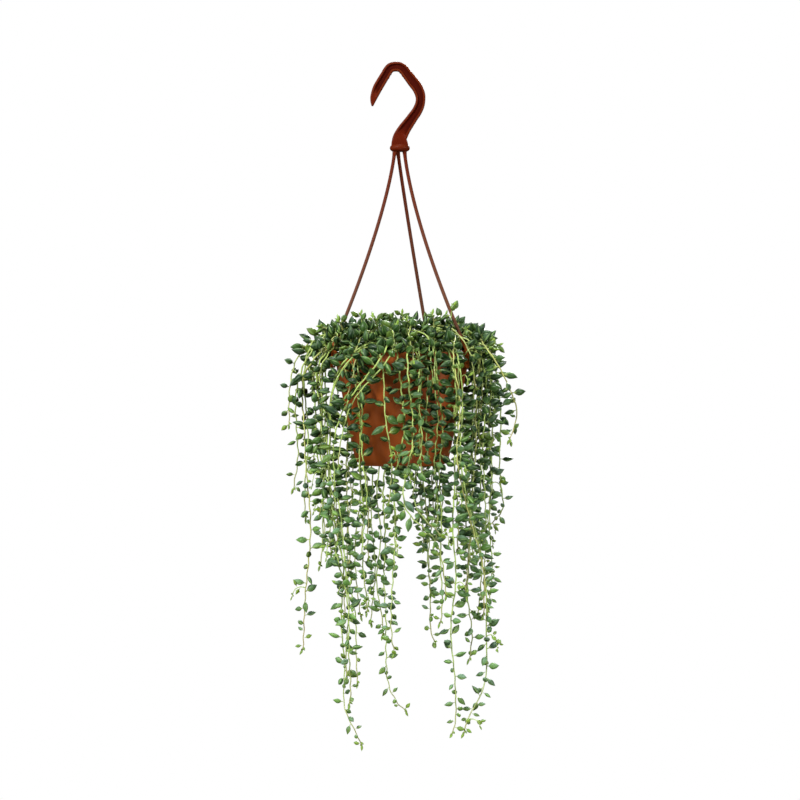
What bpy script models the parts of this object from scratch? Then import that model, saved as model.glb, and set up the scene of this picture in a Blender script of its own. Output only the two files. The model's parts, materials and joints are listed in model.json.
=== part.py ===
"""Hanging pot of trailing pointed-bead succulent, as separate solids at real size.

Sizes below are in millimetres and become metres when a mesh is made. The origin is the
inside of the hook's crown, where a rail bears. +Z is up, +X is right in the front view
and -Y is towards the viewer.
"""

import math
import random

import bmesh
import bpy
import numpy as np
from mathutils import Vector
from mathutils.kdtree import KDTree

MM = 0.001
GAP = 0.3

# Pot: heights run down from the rim's top, and radii are from the pot's own axis
POT_X = 7.0
RIM_Z = -304.6
RIM_R = 75.0
SKIRT_H = 13.5
SKIRT_T = 1.4
WALL_T = 1.6
WALL_TOP_R = 71.2
WALL_LOW_R = 52.0
WALL_LOW_H = 108.0
POT_H = 121.0
FOOT_R = 44.0
FLOOR_T = 2.4
FLOOR_RISE = 3.0
DRAIN_R = 4.0
DRAIN_RING_R = 27.0
POT_STEPS = 28

# Soil
SOIL_DROP = 11.0
HOLE_R = 2.1
HOLE_DEPTH = 12.0

# Hanger
HOOK_T = 8.0
HOOK_EDGE = 0.9
WEB_T = 3.2
WEB_RIM = 2.3
BASE_X = 4.7
BASE_R = 10.9
BASE_Z = -79.5
BASE_H = 6.9
ARM_R = 1.9
ARM_START_R = 5.4
# Each rod's azimuth on the base, its azimuth at the rim, and how strongly it bows
ARMS = {"right": (-26.0, -26.0, 1.4), "back": (118.0, 66.0, 1.08), "left": (190.0, 190.0, 1.36)}
CLIP_W = 6.0
CLIP_T = 3.2

# Plant
STEM_R = 1.25
STEM_TIP_R = 0.85
STEM_SIDES = 3
STEM_OFF = 1.5
LEAF_L = 14.2
LEAF_R = 4.0
LEAF_SIDES = 3
LEAF_WIDEST = 0.46
LEAF_SUNK = 0.4
TIP_L = 8.0
TIP_R = 2.2
TOP_STEP = 13.0
TOP_PART = 95.0
LEAF_STEP = 25.0
CROWN_STEP = 9.0
STEM_APART = 5.2
SEED = 11

# The view that the front stems were placed by: they hang nearer to it than the pot's axis
VIEW_X = 4.9
VIEW_Z = -355.0
VIEW_DISTANCE = 2500.0

# Middle line of the hook from its tip to its base, with half its width: x, z, half width
HOOK_LINE = (
    (-24.9, -37.2, 0.9),
    (-24.4, -32.2, 2.8),
    (-22.8, -26.4, 4.1),
    (-19.5, -18.5, 5.0),
    (-15.8, -12.0, 5.1),
    (-11.9, -5.6, 5.0),
    (-8.2, 0.6, 5.0),
    (-4.9, 4.0, 4.95),
    (-0.2, 5.0, 4.9),
    (5.0, 4.4, 5.0),
    (9.2, 1.3, 5.2),
    (13.1, -4.0, 5.3),
    (18.9, -11.4, 5.7),
    (23.8, -18.2, 5.6),
    (26.6, -25.0, 5.4),
    (27.1, -31.0, 5.2),
    (26.0, -37.0, 5.3),
    (23.1, -43.3, 5.4),
    (19.0, -49.2, 5.6),
    (14.6, -55.5, 6.0),
    (10.1, -61.8, 6.6),
    (6.7, -67.6, 7.2),
    (4.6, -72.6, 7.7),
    (4.4, -77.0, 8.7),
    (4.6, -80.2, 9.1),
    (4.6, -84.6, 8.8),
)
WEB_FIRST = 2
WEB_LAST = 22
HOOK_OFF = 0.2

# Stems placed one by one: radius that it hangs at, side (-1 front, 1 back), then x, z
PLACED_STEMS = (
    (110, -1, ((-49, -276), (-64, -289), (-80, -303), (-95, -322), (-102, -347), (-98, -400),
               (-93, -465), (-94, -538), (-99, -591), (-101, -625))),
    (121, 1, ((-88, -290), (-107, -308), (-113, -333), (-114, -382))),
    (96, -1, ((-28, -292), (-54, -312), (-67, -338), (-73, -372), (-74, -407), (-71, -443),
              (-67, -480), (-62, -511), (-56, -538), (-58, -614), (-56, -649), (-54, -688),
              (-46, -705), (-38, -728))),
    (102, -1, ((-60, -282), (-80, -310), (-85, -338), (-81, -390), (-76, -450), (-67, -505),
               (-54, -560), (-49, -635), (-49, -664), (-50, -684))),
    (98, 1, ((-70, -290), (-86, -318), (-88, -345), (-85, -400), (-72, -470), (-55, -530),
             (-44, -590), (-41, -636), (-41, -661))),
    (91, -1, ((-23, -283), (-15, -314), (-12, -353), (-8, -391), (-4, -424), (-5, -466))),
    (103, -1, ((-4, -284), (-13, -307), (-23, -322), (-41, -341), (-60, -369), (-66, -400),
               (-65, -440), (-70, -490), (-68, -520))),
    (86, -1, ((-45, -290), (-41, -315), (-38, -343), (-37, -367), (-34, -422), (-32, -461),
              (-34, -488), (-34, -538), (-32, -584))),
    (86, 1, ((-14, -294), (-12, -320), (-12, -430), (-12, -480), (-12, -538), (-10, -614),
             (-9, -641), (-10, -660), (-5, -675), (4, -687), (11, -691))),
    (89, -1, ((-4, -288), (5, -321), (8, -340), (8, -379), (5, -419), (-1, -438), (-2, -480),
              (-1, -538), (-6, -600), (-1, -629))),
    (92, 1, ((-30, -292), (-27, -320), (-26, -443), (-25, -480), (-23, -538), (-25, -596))),
    (90, -1, ((22, -290), (27, -321), (28, -342), (26, -366), (25, -400), (27, -424), (32, -446),
              (34, -484))),
    (101, -1, ((12, -300), (15, -330), (18, -370), (17, -407), (12, -438), (9, -474), (20, -487),
               (33, -497), (48, -515), (54, -538), (55, -566))),
    (92, -1, ((37, -282), (44, -309), (47, -340), (49, -366), (50, -400), (48, -440), (49, -497),
              (50, -560), (48, -596))),
    (88, 1, ((38, -292), (36, -320), (35, -430), (36, -528), (36, -555), (37, -582), (38, -607),
             (44, -617))),
    (98, -1, ((50, -281), (58, -300), (64, -330), (65, -380), (64, -417), (63, -452), (63, -488),
              (64, -555), (62, -582), (61, -618), (61, -640), (64, -670), (68, -703), (62, -716))),
    (91, -1, ((80, -292), (89, -318), (90, -347), (87, -383), (86, -414), (83, -438), (84, -457),
              (80, -470), (82, -492), (80, -530), (77, -572), (80, -591), (84, -614), (81, -636))),
    (106, -1, ((56, -284), (68, -310), (72, -345), (71, -400), (72, -440), (76, -464), (83, -482),
               (91, -506), (93, -530), (97, -568), (100, -609), (99, -640), (94, -666), (88, -681),
               (79, -697), (75, -715))),
    (100, -1, ((80, -283), (93, -306), (97, -338), (96, -398), (95, -452), (98, -500), (95, -566))),
    (113, 1, ((92, -288), (107, -312), (112, -340), (113, -400), (114, -457), (117, -470),
              (112, -481), (103, -490))),
    (104, 1, ((82, -288), (97, -314), (102, -344), (103, -400), (103, -504), (103, -538),
              (103, -559), (101, -585))),
    (127, -1, ((84, -282), (103, -305), (116, -328), (125, -346), (132, -368), (123, -397))),
    (113, -1, ((-80, -288), (-97, -306), (-104, -333), (-107, -380), (-106, -420), (-110, -452))),
)
# How low the stems between them may reach: x, lowest z
LOWEST = (
    (-110, -470), (-95, -560), (-85, -545), (-70, -540), (-55, -640), (-35, -625), (-15, -600),
    (2, -560), (10, -485), (24, -490), (36, -570), (50, -600), (75, -600), (95, -590), (115, -500),
)
RULED_STEMS = 12
CROWNS = 8


def clear_scene():
    for obj in list(bpy.data.objects):
        bpy.data.objects.remove(obj, do_unlink=True)
    for mesh in list(bpy.data.meshes):
        bpy.data.meshes.remove(mesh)


def material(name, colour, roughness):
    made = bpy.data.materials.new(name)
    made.use_nodes = True
    principled = made.node_tree.nodes["Principled BSDF"]
    principled.inputs["Base Color"].default_value = (*colour, 1.0)
    principled.inputs["Roughness"].default_value = roughness
    made.diffuse_color = (*colour, 1.0)
    return made


def add_mesh(name, points, faces, slot, collection=None):
    """A mesh object from points in millimetres, with its faces turned outwards."""
    mesh = bpy.data.meshes.new(name)
    mesh.from_pydata([Vector(p) * MM for p in points], [], faces)
    work = bmesh.new()
    work.from_mesh(mesh)
    bmesh.ops.recalc_face_normals(work, faces=work.faces)
    work.to_mesh(mesh)
    work.free()
    if slot:
        mesh.materials.append(slot)
    obj = bpy.data.objects.new(name, mesh)
    (collection or bpy.context.scene.collection).objects.link(obj)
    return obj


def helpers(name):
    """A collection for cutters and joined pieces, which no render shows."""
    made = bpy.data.collections.new(name)
    bpy.context.scene.collection.children.link(made)
    return made


def as_helper(obj):
    obj.hide_render = True
    obj.display_type = "WIRE"


def apply_modifiers(obj):
    """Bakes an object's modifiers into its mesh."""
    graph = bpy.context.evaluated_depsgraph_get()
    baked = bpy.data.meshes.new_from_object(obj.evaluated_get(graph))
    obj.modifiers.clear()
    obj.data = baked


def boolean(obj, collection, operation, solver="EXACT"):
    """Joins or cuts obj with everything in a collection, then removes what it held."""
    join = obj.modifiers.new("join", "BOOLEAN")
    join.operation = operation
    join.operand_type = "COLLECTION"
    join.collection = collection
    join.solver = solver
    apply_modifiers(obj)
    for other in list(collection.objects):
        bpy.data.objects.remove(other, do_unlink=True)
    bpy.data.collections.remove(collection)


def frames(points):
    """For each point of a line, the way that it runs and a way square to it that barely twists."""
    out = []
    side = (points[1] - points[0]).orthogonal().normalized()
    for k in range(len(points)):
        before, after = points[max(k - 1, 0)], points[min(k + 1, len(points) - 1)]
        along = (after - points[k]).normalized() + (points[k] - before).normalized()
        along.normalize()
        side = (side - along * side.dot(along)).normalized()
        out.append((along, side))
    return out


def tube(name, points, radii, sides, slot, collection=None):
    """A closed tube of few sides along points in millimetres."""
    corners = []
    for point, radius, (along, side) in zip(points, radii, frames(points)):
        other = along.cross(side)
        for k in range(sides):
            angle = 2 * math.pi * k / sides
            corners.append(point + (side * math.cos(angle) + other * math.sin(angle)) * radius)
    faces = [tuple(range(sides)), tuple(range(len(corners) - sides, len(corners)))]
    for low in range(0, len(corners) - sides, sides):
        for k in range(sides):
            after = (k + 1) % sides
            faces.append((low + k, low + after, low + sides + after, low + sides + k))
    return add_mesh(name, corners, faces, slot, collection)


def turned(name, profile, steps, slot):
    """A round piece from its half section, given down the outside and back up within."""
    mesh = bpy.data.meshes.new(name)
    count = len(profile)
    ring = [(k, (k + 1) % count) for k in range(count)]
    closed_on_axis = profile[0][0] == 0
    edges = ring[:-1] if closed_on_axis else ring
    mesh.from_pydata([Vector((r, 0, z)) * MM for r, z in profile], edges, [])
    obj = bpy.data.objects.new(name, mesh)
    bpy.context.scene.collection.objects.link(obj)
    obj.location.x = POT_X * MM
    screw = obj.modifiers.new("turn", "SCREW")
    screw.steps = steps
    screw.render_steps = steps
    screw.use_merge_vertices = True
    screw.merge_threshold = 0.00001
    apply_modifiers(obj)
    work = bmesh.new()
    work.from_mesh(obj.data)
    bmesh.ops.remove_doubles(work, verts=work.verts, dist=0.01 * MM)
    bmesh.ops.recalc_face_normals(work, faces=work.faces)
    work.to_mesh(obj.data)
    work.free()
    obj.data.materials.append(slot)
    return obj


def wall_r(z):
    """Outer radius of the pot's wall at a height."""
    down = RIM_Z - z
    share = min(max((down - SKIRT_H) / (WALL_LOW_H - SKIRT_H), 0.0), 1.0)
    return WALL_TOP_R + (WALL_LOW_R - WALL_TOP_R) * share


def outside_r(z):
    """Radius of whatever the pot shows outside at a height, 0 past its ends."""
    down = RIM_Z - z
    if down < 0 or down > POT_H:
        return 0.0
    if down <= SKIRT_H:
        return RIM_R
    if down <= WALL_LOW_H:
        return wall_r(z)
    return WALL_LOW_R - (WALL_LOW_R - FOOT_R) * ((down - WALL_LOW_H) / (POT_H - WALL_LOW_H)) ** 2


def polar(r, azimuth, z):
    angle = math.radians(azimuth)
    return Vector((POT_X + r * math.cos(angle), r * math.sin(angle), z))


def smooth_line(points, step):
    """Points about `step` apart on a rounded line through the given ones."""
    ends = [points[0], *points, points[-1]]
    out = []
    for a, b, c, d in zip(ends, ends[1:], ends[2:], ends[3:]):
        count = max(1, round((c - b).length / step))
        for k in range(count):
            t = k / count
            out.append(
                0.5 * (2 * b + (c - a) * t + (2 * a - 5 * b + 4 * c - d) * t * t
                       + (3 * b - a - 3 * c + d) * t ** 3)
            )
    out.append(points[-1])
    return out


def make_pot(slot):
    """Pot with a skirted rim, a foot ring and drain holes."""
    low = RIM_Z - WALL_LOW_H
    foot = RIM_Z - POT_H
    profile = [
        (RIM_R - 1.2, RIM_Z),
        (RIM_R, RIM_Z - 1.2),
        (RIM_R - 1.0, RIM_Z - SKIRT_H),
        (RIM_R - 1.0 - SKIRT_T, RIM_Z - SKIRT_H),
        (RIM_R - 0.3 - SKIRT_T, RIM_Z - 2.2),
        (WALL_TOP_R + 0.3, RIM_Z - 2.2),
        (WALL_TOP_R - 0.3, RIM_Z - SKIRT_H),
        (WALL_LOW_R, low),
        (49.0, low - 7.5),
        (FOOT_R, foot),
        (FOOT_R - 3.0, foot),
        (FOOT_R - 3.4, foot + FLOOR_RISE),
        (0.0, foot + FLOOR_RISE),
    ]
    inner = [
        (0.0, foot + FLOOR_RISE + FLOOR_T),
        (FOOT_R, foot + FLOOR_RISE + FLOOR_T),
        (WALL_LOW_R - WALL_T - 1.4, low - 4.0),
        (WALL_LOW_R - WALL_T, low + 1.0),
        (WALL_TOP_R - WALL_T, RIM_Z - 9.0),
        (WALL_TOP_R - WALL_T, RIM_Z - 0.8),
        (WALL_TOP_R - WALL_T + 0.8, RIM_Z),
    ]
    # The section is given from the floor's top round to its underside
    section = inner + profile
    pot = turned("pot", section, POT_STEPS, slot)
    cutters = helpers("drain_cutters")
    spots = [polar(DRAIN_RING_R, 90 * k + 45, 0) for k in range(4)] + [polar(0, 0, 0)]
    for spot in spots:
        ring = [
            spot + Vector((DRAIN_R * math.cos(a), DRAIN_R * math.sin(a), 0))
            for a in (math.radians(45 * k + 15) for k in range(8))
        ]
        points = [p + Vector((0, 0, z)) for z in (foot - 3, foot + 12) for p in ring]
        faces = [tuple(range(8)), tuple(range(8, 16))]
        faces += [(k, (k + 1) % 8, (k + 1) % 8 + 8, k + 8) for k in range(8)]
        as_helper(add_mesh("drain_cutter", points, faces, None, cutters))
    boolean(pot, cutters, "DIFFERENCE")
    pot.data.set_sharp_from_angle(angle=math.radians(35))
    return pot


def soil_top(r):
    """The soil is a little higher in the middle."""
    return RIM_Z - SOIL_DROP + 2.0 * (1 - (r / 70.0) ** 2)


def make_soil(slot, holes):
    """Filling of the pot, with a plain hole for each stem."""
    foot = RIM_Z - POT_H
    low = RIM_Z - WALL_LOW_H
    floor = foot + FLOOR_RISE + FLOOR_T + GAP
    profile = [
        (0.0, soil_top(0)),
        (38.0, soil_top(38)),
        (WALL_TOP_R - WALL_T - GAP - 0.4, soil_top(68)),
        (WALL_LOW_R - WALL_T - GAP - 0.1, low + 1.0),
        (WALL_LOW_R - WALL_T - 1.4 - GAP, low - 4.0),
        (FOOT_R - GAP, floor),
        (0.0, floor),
    ]
    soil = turned("soil", profile, POT_STEPS, slot)
    cutters = helpers("hole_cutters")
    for hole in holes:
        z_top = soil_top(0) + 6
        z_low = soil_top((hole - polar(0, 0, 0)).xy.length) - HOLE_DEPTH
        ring = [
            (hole.x + HOLE_R * math.cos(a), hole.y + HOLE_R * math.sin(a))
            for a in (0, math.pi / 2, math.pi, 1.5 * math.pi)
        ]
        points = [(x, y, z) for z in (z_low, z_top) for x, y in ring]
        faces = [(0, 1, 2, 3), (4, 5, 6, 7)]
        faces += [(k, (k + 1) % 4, (k + 1) % 4 + 4, k + 4) for k in range(4)]
        as_helper(add_mesh("hole_cutter", points, faces, None, cutters))
    boolean(soil, cutters, "DIFFERENCE")
    soil.data.set_sharp_from_angle(angle=math.radians(40))
    return soil


def arm_points(arm, count):
    """Middle line of one of the hanger's rods, from inside its base to its clip."""
    start, azimuth, bow = arm
    angle = math.radians(start)
    top = BASE_Z - BASE_H / 2
    first = Vector((BASE_X + ARM_START_R * math.cos(angle), ARM_START_R * math.sin(angle), top))
    last = polar(RIM_R + 0.6 + CLIP_T / 2, azimuth, RIM_Z + 1.5)
    out = []
    for k in range(count + 1):
        t = k / count
        place = first.lerp(last, t ** bow)
        out.append(Vector((place.x, place.y, top + (last.z - top) * t)))
    return out


def band(name, line, y_low, y_high, slot, collection):
    """A plate from a line of (x, z, half width), between two depths."""
    left, right = [], []
    for k, (x, z, half) in enumerate(line):
        ax, az, _ = line[max(k - 1, 0)]
        bx, bz, _ = line[min(k + 1, len(line) - 1)]
        along = math.hypot(bx - ax, bz - az)
        nx, nz = -(bz - az) / along, (bx - ax) / along
        left.append((x + nx * half, z + nz * half))
        right.append((x - nx * half, z - nz * half))
    points = []
    for y in (y_low, y_high):
        points += [(x, y, z) for x, z in left] + [(x, y, z) for x, z in right]
    n = len(line)
    faces = []
    for k in range(n - 1):
        faces.append((k, k + 1, n + k + 1, n + k))
        faces.append((2 * n + k, 3 * n + k, 3 * n + k + 1, 2 * n + k + 1))
        faces.append((k, 2 * n + k, 2 * n + k + 1, k + 1))
        faces.append((n + k, n + k + 1, 3 * n + k + 1, 3 * n + k))
    faces.append((0, n, 3 * n, 2 * n))
    faces.append((n - 1, 3 * n - 1, 4 * n - 1, 2 * n - 1))
    return add_mesh(name, points, faces, slot, collection)


def rounded(line, narrower=0.0):
    """The hook's line with enough points to look round, its half width a bit narrower."""
    fine = smooth_line([Vector(p) for p in line], 2.0)
    return [(x, z, half - narrower) for x, z, half in thinned(fine, HOOK_OFF)]


def clip_block(name, azimuth, r_low, r_high, z_low, z_high, width, collection):
    """A box of the hanger's clip, square to the rim at its azimuth."""
    angle = math.radians(azimuth)
    out = Vector((math.cos(angle), math.sin(angle), 0))
    side = Vector((-math.sin(angle), math.cos(angle), 0))
    points = [
        polar(0, 0, 0) + out * r + side * s + Vector((0, 0, z))
        for z in (z_low, z_high) for r in (r_low, r_high) for s in (-width / 2, width / 2)
    ]
    faces = [(0, 1, 3, 2), (4, 5, 7, 6), (0, 1, 5, 4), (2, 3, 7, 6), (0, 2, 6, 4), (1, 3, 7, 5)]
    return add_mesh(name, points, faces, None, collection)


def make_hanger(slot):
    """Hook, round base, three rods and their clips, moulded as one piece."""
    hanger = band("hanger", rounded(HOOK_LINE), -HOOK_T / 2, HOOK_T / 2, slot, None)
    bevel = hanger.modifiers.new("edges", "BEVEL")
    bevel.width = HOOK_EDGE * MM
    bevel.segments = 1
    bevel.limit_method = "ANGLE"
    bevel.angle_limit = math.radians(50)
    apply_modifiers(hanger)
    webs = helpers("web_cutters")
    web = rounded(HOOK_LINE[WEB_FIRST:WEB_LAST], WEB_RIM)
    x, z, _ = web[-1]
    web[-1] = (x, z, 1.2)
    for low, high in ((-HOOK_T, -WEB_T / 2), (WEB_T / 2, HOOK_T)):
        as_helper(band("web_cutter", web, low, high, None, webs))
    boolean(hanger, webs, "DIFFERENCE")

    pieces = helpers("hanger_pieces")
    ring = [
        (math.cos(math.radians(15 * k)), math.sin(math.radians(15 * k))) for k in range(24)
    ]
    heights = ((BASE_Z, BASE_R - 2.4), (BASE_Z - 1.4, BASE_R - 0.7), (BASE_Z - 3.4, BASE_R),
               (BASE_Z - BASE_H + 1.6, BASE_R - 0.4), (BASE_Z - BASE_H, BASE_R - 2.2))
    points = [(BASE_X + c * r, s * r, z) for z, r in heights for c, s in ring]
    faces = [tuple(range(24)), tuple(range(96, 120))]
    for low in (0, 24, 48, 72):
        faces += [(low + k, low + (k + 1) % 24, low + 24 + (k + 1) % 24, low + 24 + k)
                  for k in range(24)]
    as_helper(add_mesh("hanger_base", points, faces, None, pieces))
    for name, arm in ARMS.items():
        azimuth = arm[1]
        line = arm_points(arm, 10)
        radii = [ARM_R] * 9 + [ARM_R * 1.25, ARM_R * 1.25]
        as_helper(tube("arm_" + name, line, radii, 6, None, pieces))
        outer = RIM_R + GAP
        low = RIM_Z - SKIRT_H - GAP
        as_helper(clip_block("clip_leg", azimuth, outer, outer + CLIP_T, low - 2.6, RIM_Z + 3.2,
                             CLIP_W, pieces))
        as_helper(clip_block("clip_finger", azimuth, RIM_R - 3.6, outer + 1.6, RIM_Z + GAP,
                             RIM_Z + 2.7, CLIP_W - 1.4, pieces))
        as_helper(clip_block("clip_lip", azimuth, RIM_R - 2.2, outer + 1.6, low - 2.0, low,
                             CLIP_W - 1.4, pieces))
    boolean(hanger, pieces, "UNION")
    hanger.data.set_sharp_from_angle(angle=math.radians(40))
    return hanger


def root_spots(count):
    """Places for the stems in the soil, evenly spread from the middle outwards."""
    return [polar(61.0 * math.sqrt((k + 0.6) / count), k * 137.508, 0) for k in range(count)]


def placed_line(hang_r, side, seen):
    """Points in space of a stem given by its place in the front view."""
    out = []
    for x, z in seen:
        over = min(max((z - (RIM_Z - 8)) / 34.0, 0.0), 1.0)
        r = hang_r - (hang_r - 56.0) * over * over * (3 - 2 * over)
        y = side * math.sqrt(max(r * r - (x - POT_X) ** 2, 9.0))
        scale = (VIEW_DISTANCE + y) / VIEW_DISTANCE
        out.append(Vector((VIEW_X + (x - VIEW_X) * scale, y, VIEW_Z + (z - VIEW_Z) * scale)))
    return out


def ruled_line(index, draw):
    """Points in space of a stem at the back or side, evenly spread with a seeded draw."""
    azimuth = -14 + 208 * (index + 0.5) / RULED_STEMS + draw.uniform(-3, 3)
    hang_r = (84.0, 97.0, 90.0, 106.0)[index % 4] + draw.uniform(-2, 2)
    x = POT_X + hang_r * math.cos(math.radians(azimuth))
    lowest = float(np.interp(x, [p[0] for p in LOWEST], [p[1] for p in LOWEST]))
    end = RIM_Z + (lowest - RIM_Z) * draw.uniform(0.72, 1.0)
    out = [
        polar(hang_r * 0.66, azimuth, RIM_Z + 20 + (index % 3) * 5),
        polar(hang_r * 0.92, azimuth, RIM_Z + 6),
        polar(hang_r, azimuth, RIM_Z - 22),
    ]
    z = RIM_Z - 22
    while z - 70 > end:
        z -= 62
        out.append(polar(hang_r + draw.uniform(-3, 3), azimuth + draw.uniform(-2.4, 2.4), z))
    out.append(polar(hang_r + draw.uniform(-3, 3), azimuth + draw.uniform(-3, 3), end))
    return out


def push_apart(lines, rods):
    """Bends crossing stems clear of each other, of the hanger's rods and of the pot."""
    lines = [list(line) for line in lines]
    for _ in range(40):
        held = [(p, k) for k, line in enumerate(lines) for p in line]
        held += [(p, -1) for p in rods]
        tree = KDTree(len(held))
        for index, (p, _) in enumerate(held):
            tree.insert(p, index)
        tree.balance()
        for k, line in enumerate(lines):
            moves = [Vector() for _ in line]
            for n in range(3, len(line)):
                for spot, index, apart in tree.find_range(line[n], STEM_APART):
                    owner = held[index][1]
                    if owner != k:
                        part = 1.0 if owner < 0 else 0.5
                        away = (line[n] - spot) / max(apart, 0.01)
                        moves[n] += away * (STEM_APART - apart) * part
            for n in range(3, len(line)):
                near = moves[max(n - 2, 0): n + 3]
                shift = sum(near, Vector()) / 3.0
                shift.length = min(shift.length, 2.0)
                line[n] = clear_of_rim(line[n] + shift)
            for n in range(4, len(line) - 1):
                even = (line[n - 1] + line[n + 1]) / 2
                line[n] = clear_of_rim(line[n].lerp(even, 0.12))
    return lines


def clear_of_rim(point):
    """Moves a point of a stem's middle line off the pot and the soil."""
    out = (point - polar(0, 0, point.z)).xy
    r = out.length
    need = outside_r(point.z) + 3.6
    if point.z < RIM_Z + 1.0 and 64 < r < need and need > 10:
        spot = out.normalized() * need
        return Vector((POT_X + spot.x, spot.y, point.z))
    if 60 < r < RIM_R + 3.5 and RIM_Z - 8 < point.z < RIM_Z + 5.0:
        return Vector((point.x, point.y, RIM_Z + 5.0))
    if r <= 64:
        return Vector((point.x, point.y, max(point.z, RIM_Z - SOIL_DROP + 5.0)))
    return point


def thinned(points, off):
    """Fewer points, none of the dropped ones further than `off` from the line."""
    if len(points) < 3:
        return list(points)
    a, b = points[0], points[-1]
    along = b - a
    worst, where = 0.0, 0
    for k in range(1, len(points) - 1):
        share = min(max((points[k] - a).dot(along) / along.length_squared, 0.0), 1.0)
        distance = (points[k] - a - along * share).length
        if distance > worst:
            worst, where = distance, k
    if worst <= off:
        return [a, b]
    return thinned(points[: where + 1], off)[:-1] + thinned(points[where:], off)


class Crowd:
    """Balls standing for all that a new leaf must stay clear of."""

    def __init__(self):
        self.spots = []
        self.sizes = []
        self.owners = []
        self.ready = None

    def add(self, owner, spot, size):
        self.spots.append(tuple(spot))
        self.sizes.append(size)
        self.owners.append(owner)
        self.ready = None

    def add_line(self, owner, points, radius):
        for a, b in zip(points, points[1:]):
            count = max(1, math.ceil((b - a).length / 2.0))
            for k in range(count + 1):
                self.add(owner, a.lerp(b, k / count), radius)

    def add_stem(self, owner, points):
        root, way = tip_of(points)
        self.add_line(owner, [*points[:-1], root], STEM_R)
        for spot, size in leaf_balls(root, way, TIP_L, TIP_R):
            self.add(owner, spot, size)

    def free(self, owner, balls):
        if self.ready is None:
            self.ready = (np.array(self.spots), np.array(self.sizes), np.array(self.owners))
        spots, sizes, owners = self.ready
        for spot, size in balls:
            apart = np.linalg.norm(spots - np.array(spot), axis=1) - sizes - size
            if (apart[owners != owner] < 0.5).any():
                return False
        return True


def leaf_balls(root, way, length, radius):
    return [
        (root + way * length * share, radius * part)
        for share, part in ((0.24, 0.62), (0.42, 1.0), (0.6, 0.85), (0.78, 0.5), (0.95, 0.12))
    ]


def clear_of_pot(balls):
    for spot, size in balls:
        r = (spot - polar(0, 0, 0)).xy.length
        low = spot.z - size - 1.2
        near = max(outside_r(low), outside_r(spot.z))
        if low < RIM_Z and r > 62 and near > 0 and r - size < near + 1.2:
            return False
        if r <= 66 and spot.z - size < soil_top(r) + 1:
            return False
    return True


def leaf(root, way, length, radius, collection):
    """A plump pointed leaf of few sides, its root sunk in the stem."""
    turn = way.to_track_quat("Z", "Y").to_matrix()
    points = [root - way * LEAF_SUNK]
    for k in range(LEAF_SIDES):
        angle = 2 * math.pi * k / LEAF_SIDES
        ring = Vector((math.cos(angle) * radius, math.sin(angle) * radius, LEAF_WIDEST * length))
        points.append(root + turn @ ring)
    points.append(root + way * length)
    faces = []
    for k in range(LEAF_SIDES):
        after = (k + 1) % LEAF_SIDES
        faces += [(0, 1 + after, 1 + k), (1 + k, 1 + after, LEAF_SIDES + 1)]
    as_helper(add_mesh("leaf", points, faces, None, collection))


def walk(points, first, step, later_step=0.0):
    """Places along a line: (where, way along, way square to it, share of the whole)."""
    lengths = [(b - a).length for a, b in zip(points, points[1:])]
    framed = frames(points)
    whole = sum(lengths)
    at = first
    while at < whole - 1.0:
        gone = 0.0
        for k, length in enumerate(lengths):
            if at <= gone + length:
                along = (points[k + 1] - points[k]).normalized()
                side = framed[k][1] + framed[k + 1][1]
                side = (side - along * side.dot(along)).normalized()
                where = points[k].lerp(points[k + 1], (at - gone) / length)
                yield where, along, side, at / whole
                break
            gone += length
        at += later_step if later_step and at > TOP_PART else step


def leaves_on(owner, points, first, steps, crowd, draw, collection):
    """Leaves singly along a stem, on one face after another, each clear of its neighbours."""
    made = 0
    face = draw.randrange(STEM_SIDES)
    for where, along, side, share in walk(points, first, *steps):
        size = 1.0 - 0.28 * max(0.0, share - 0.55) / 0.45
        size *= draw.uniform(0.92, 1.12)
        for attempt in range(3 * STEM_SIDES):
            face += 1
            angle = 2 * math.pi * (face % STEM_SIDES + 0.5) / STEM_SIDES
            angle += math.radians(draw.uniform(-16, 16))
            out = side * math.cos(angle) + along.cross(side) * math.sin(angle)
            way = (out + along * draw.uniform(-0.15, 0.45)).normalized()
            length = LEAF_L * size
            balls = leaf_balls(where, way, length, LEAF_R * size)
            if clear_of_pot(balls) and crowd.free(owner, balls) and crowd.free(
                -1 - owner, balls[2:]
            ):
                leaf(where, way, length, LEAF_R * size, collection)
                for spot, ball in balls:
                    crowd.add(owner, spot, ball)
                made += 1
                break
    root, way = tip_of(points)
    leaf(root, way, TIP_L, TIP_R, collection)
    return made


def tip_of(points):
    """Root and way of the small leaf that closes a stem's end."""
    way = (points[-1] - points[-2]).normalized()
    return points[-1] - way * TIP_L, way


def stem_body(name, points, slot, collection=None):
    """A stem that thins towards its tip and ends inside its last leaf."""
    root, way = tip_of(points)
    points = [*points[:-1], root + way * 2.0]
    last = len(points) - 1
    radii = [STEM_R + (STEM_TIP_R - STEM_R) * k / last for k in range(last + 1)]
    return tube(name, points, radii, STEM_SIDES, slot, collection)


def stem_from(line, off):
    """The few points that a stem is built on, the last stretch long enough for its tip."""
    points = thinned(line, off)
    while len(points) > 3 and (points[-1] - points[-2]).length < TIP_L + 1:
        points.pop(-2)
    return points


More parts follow.
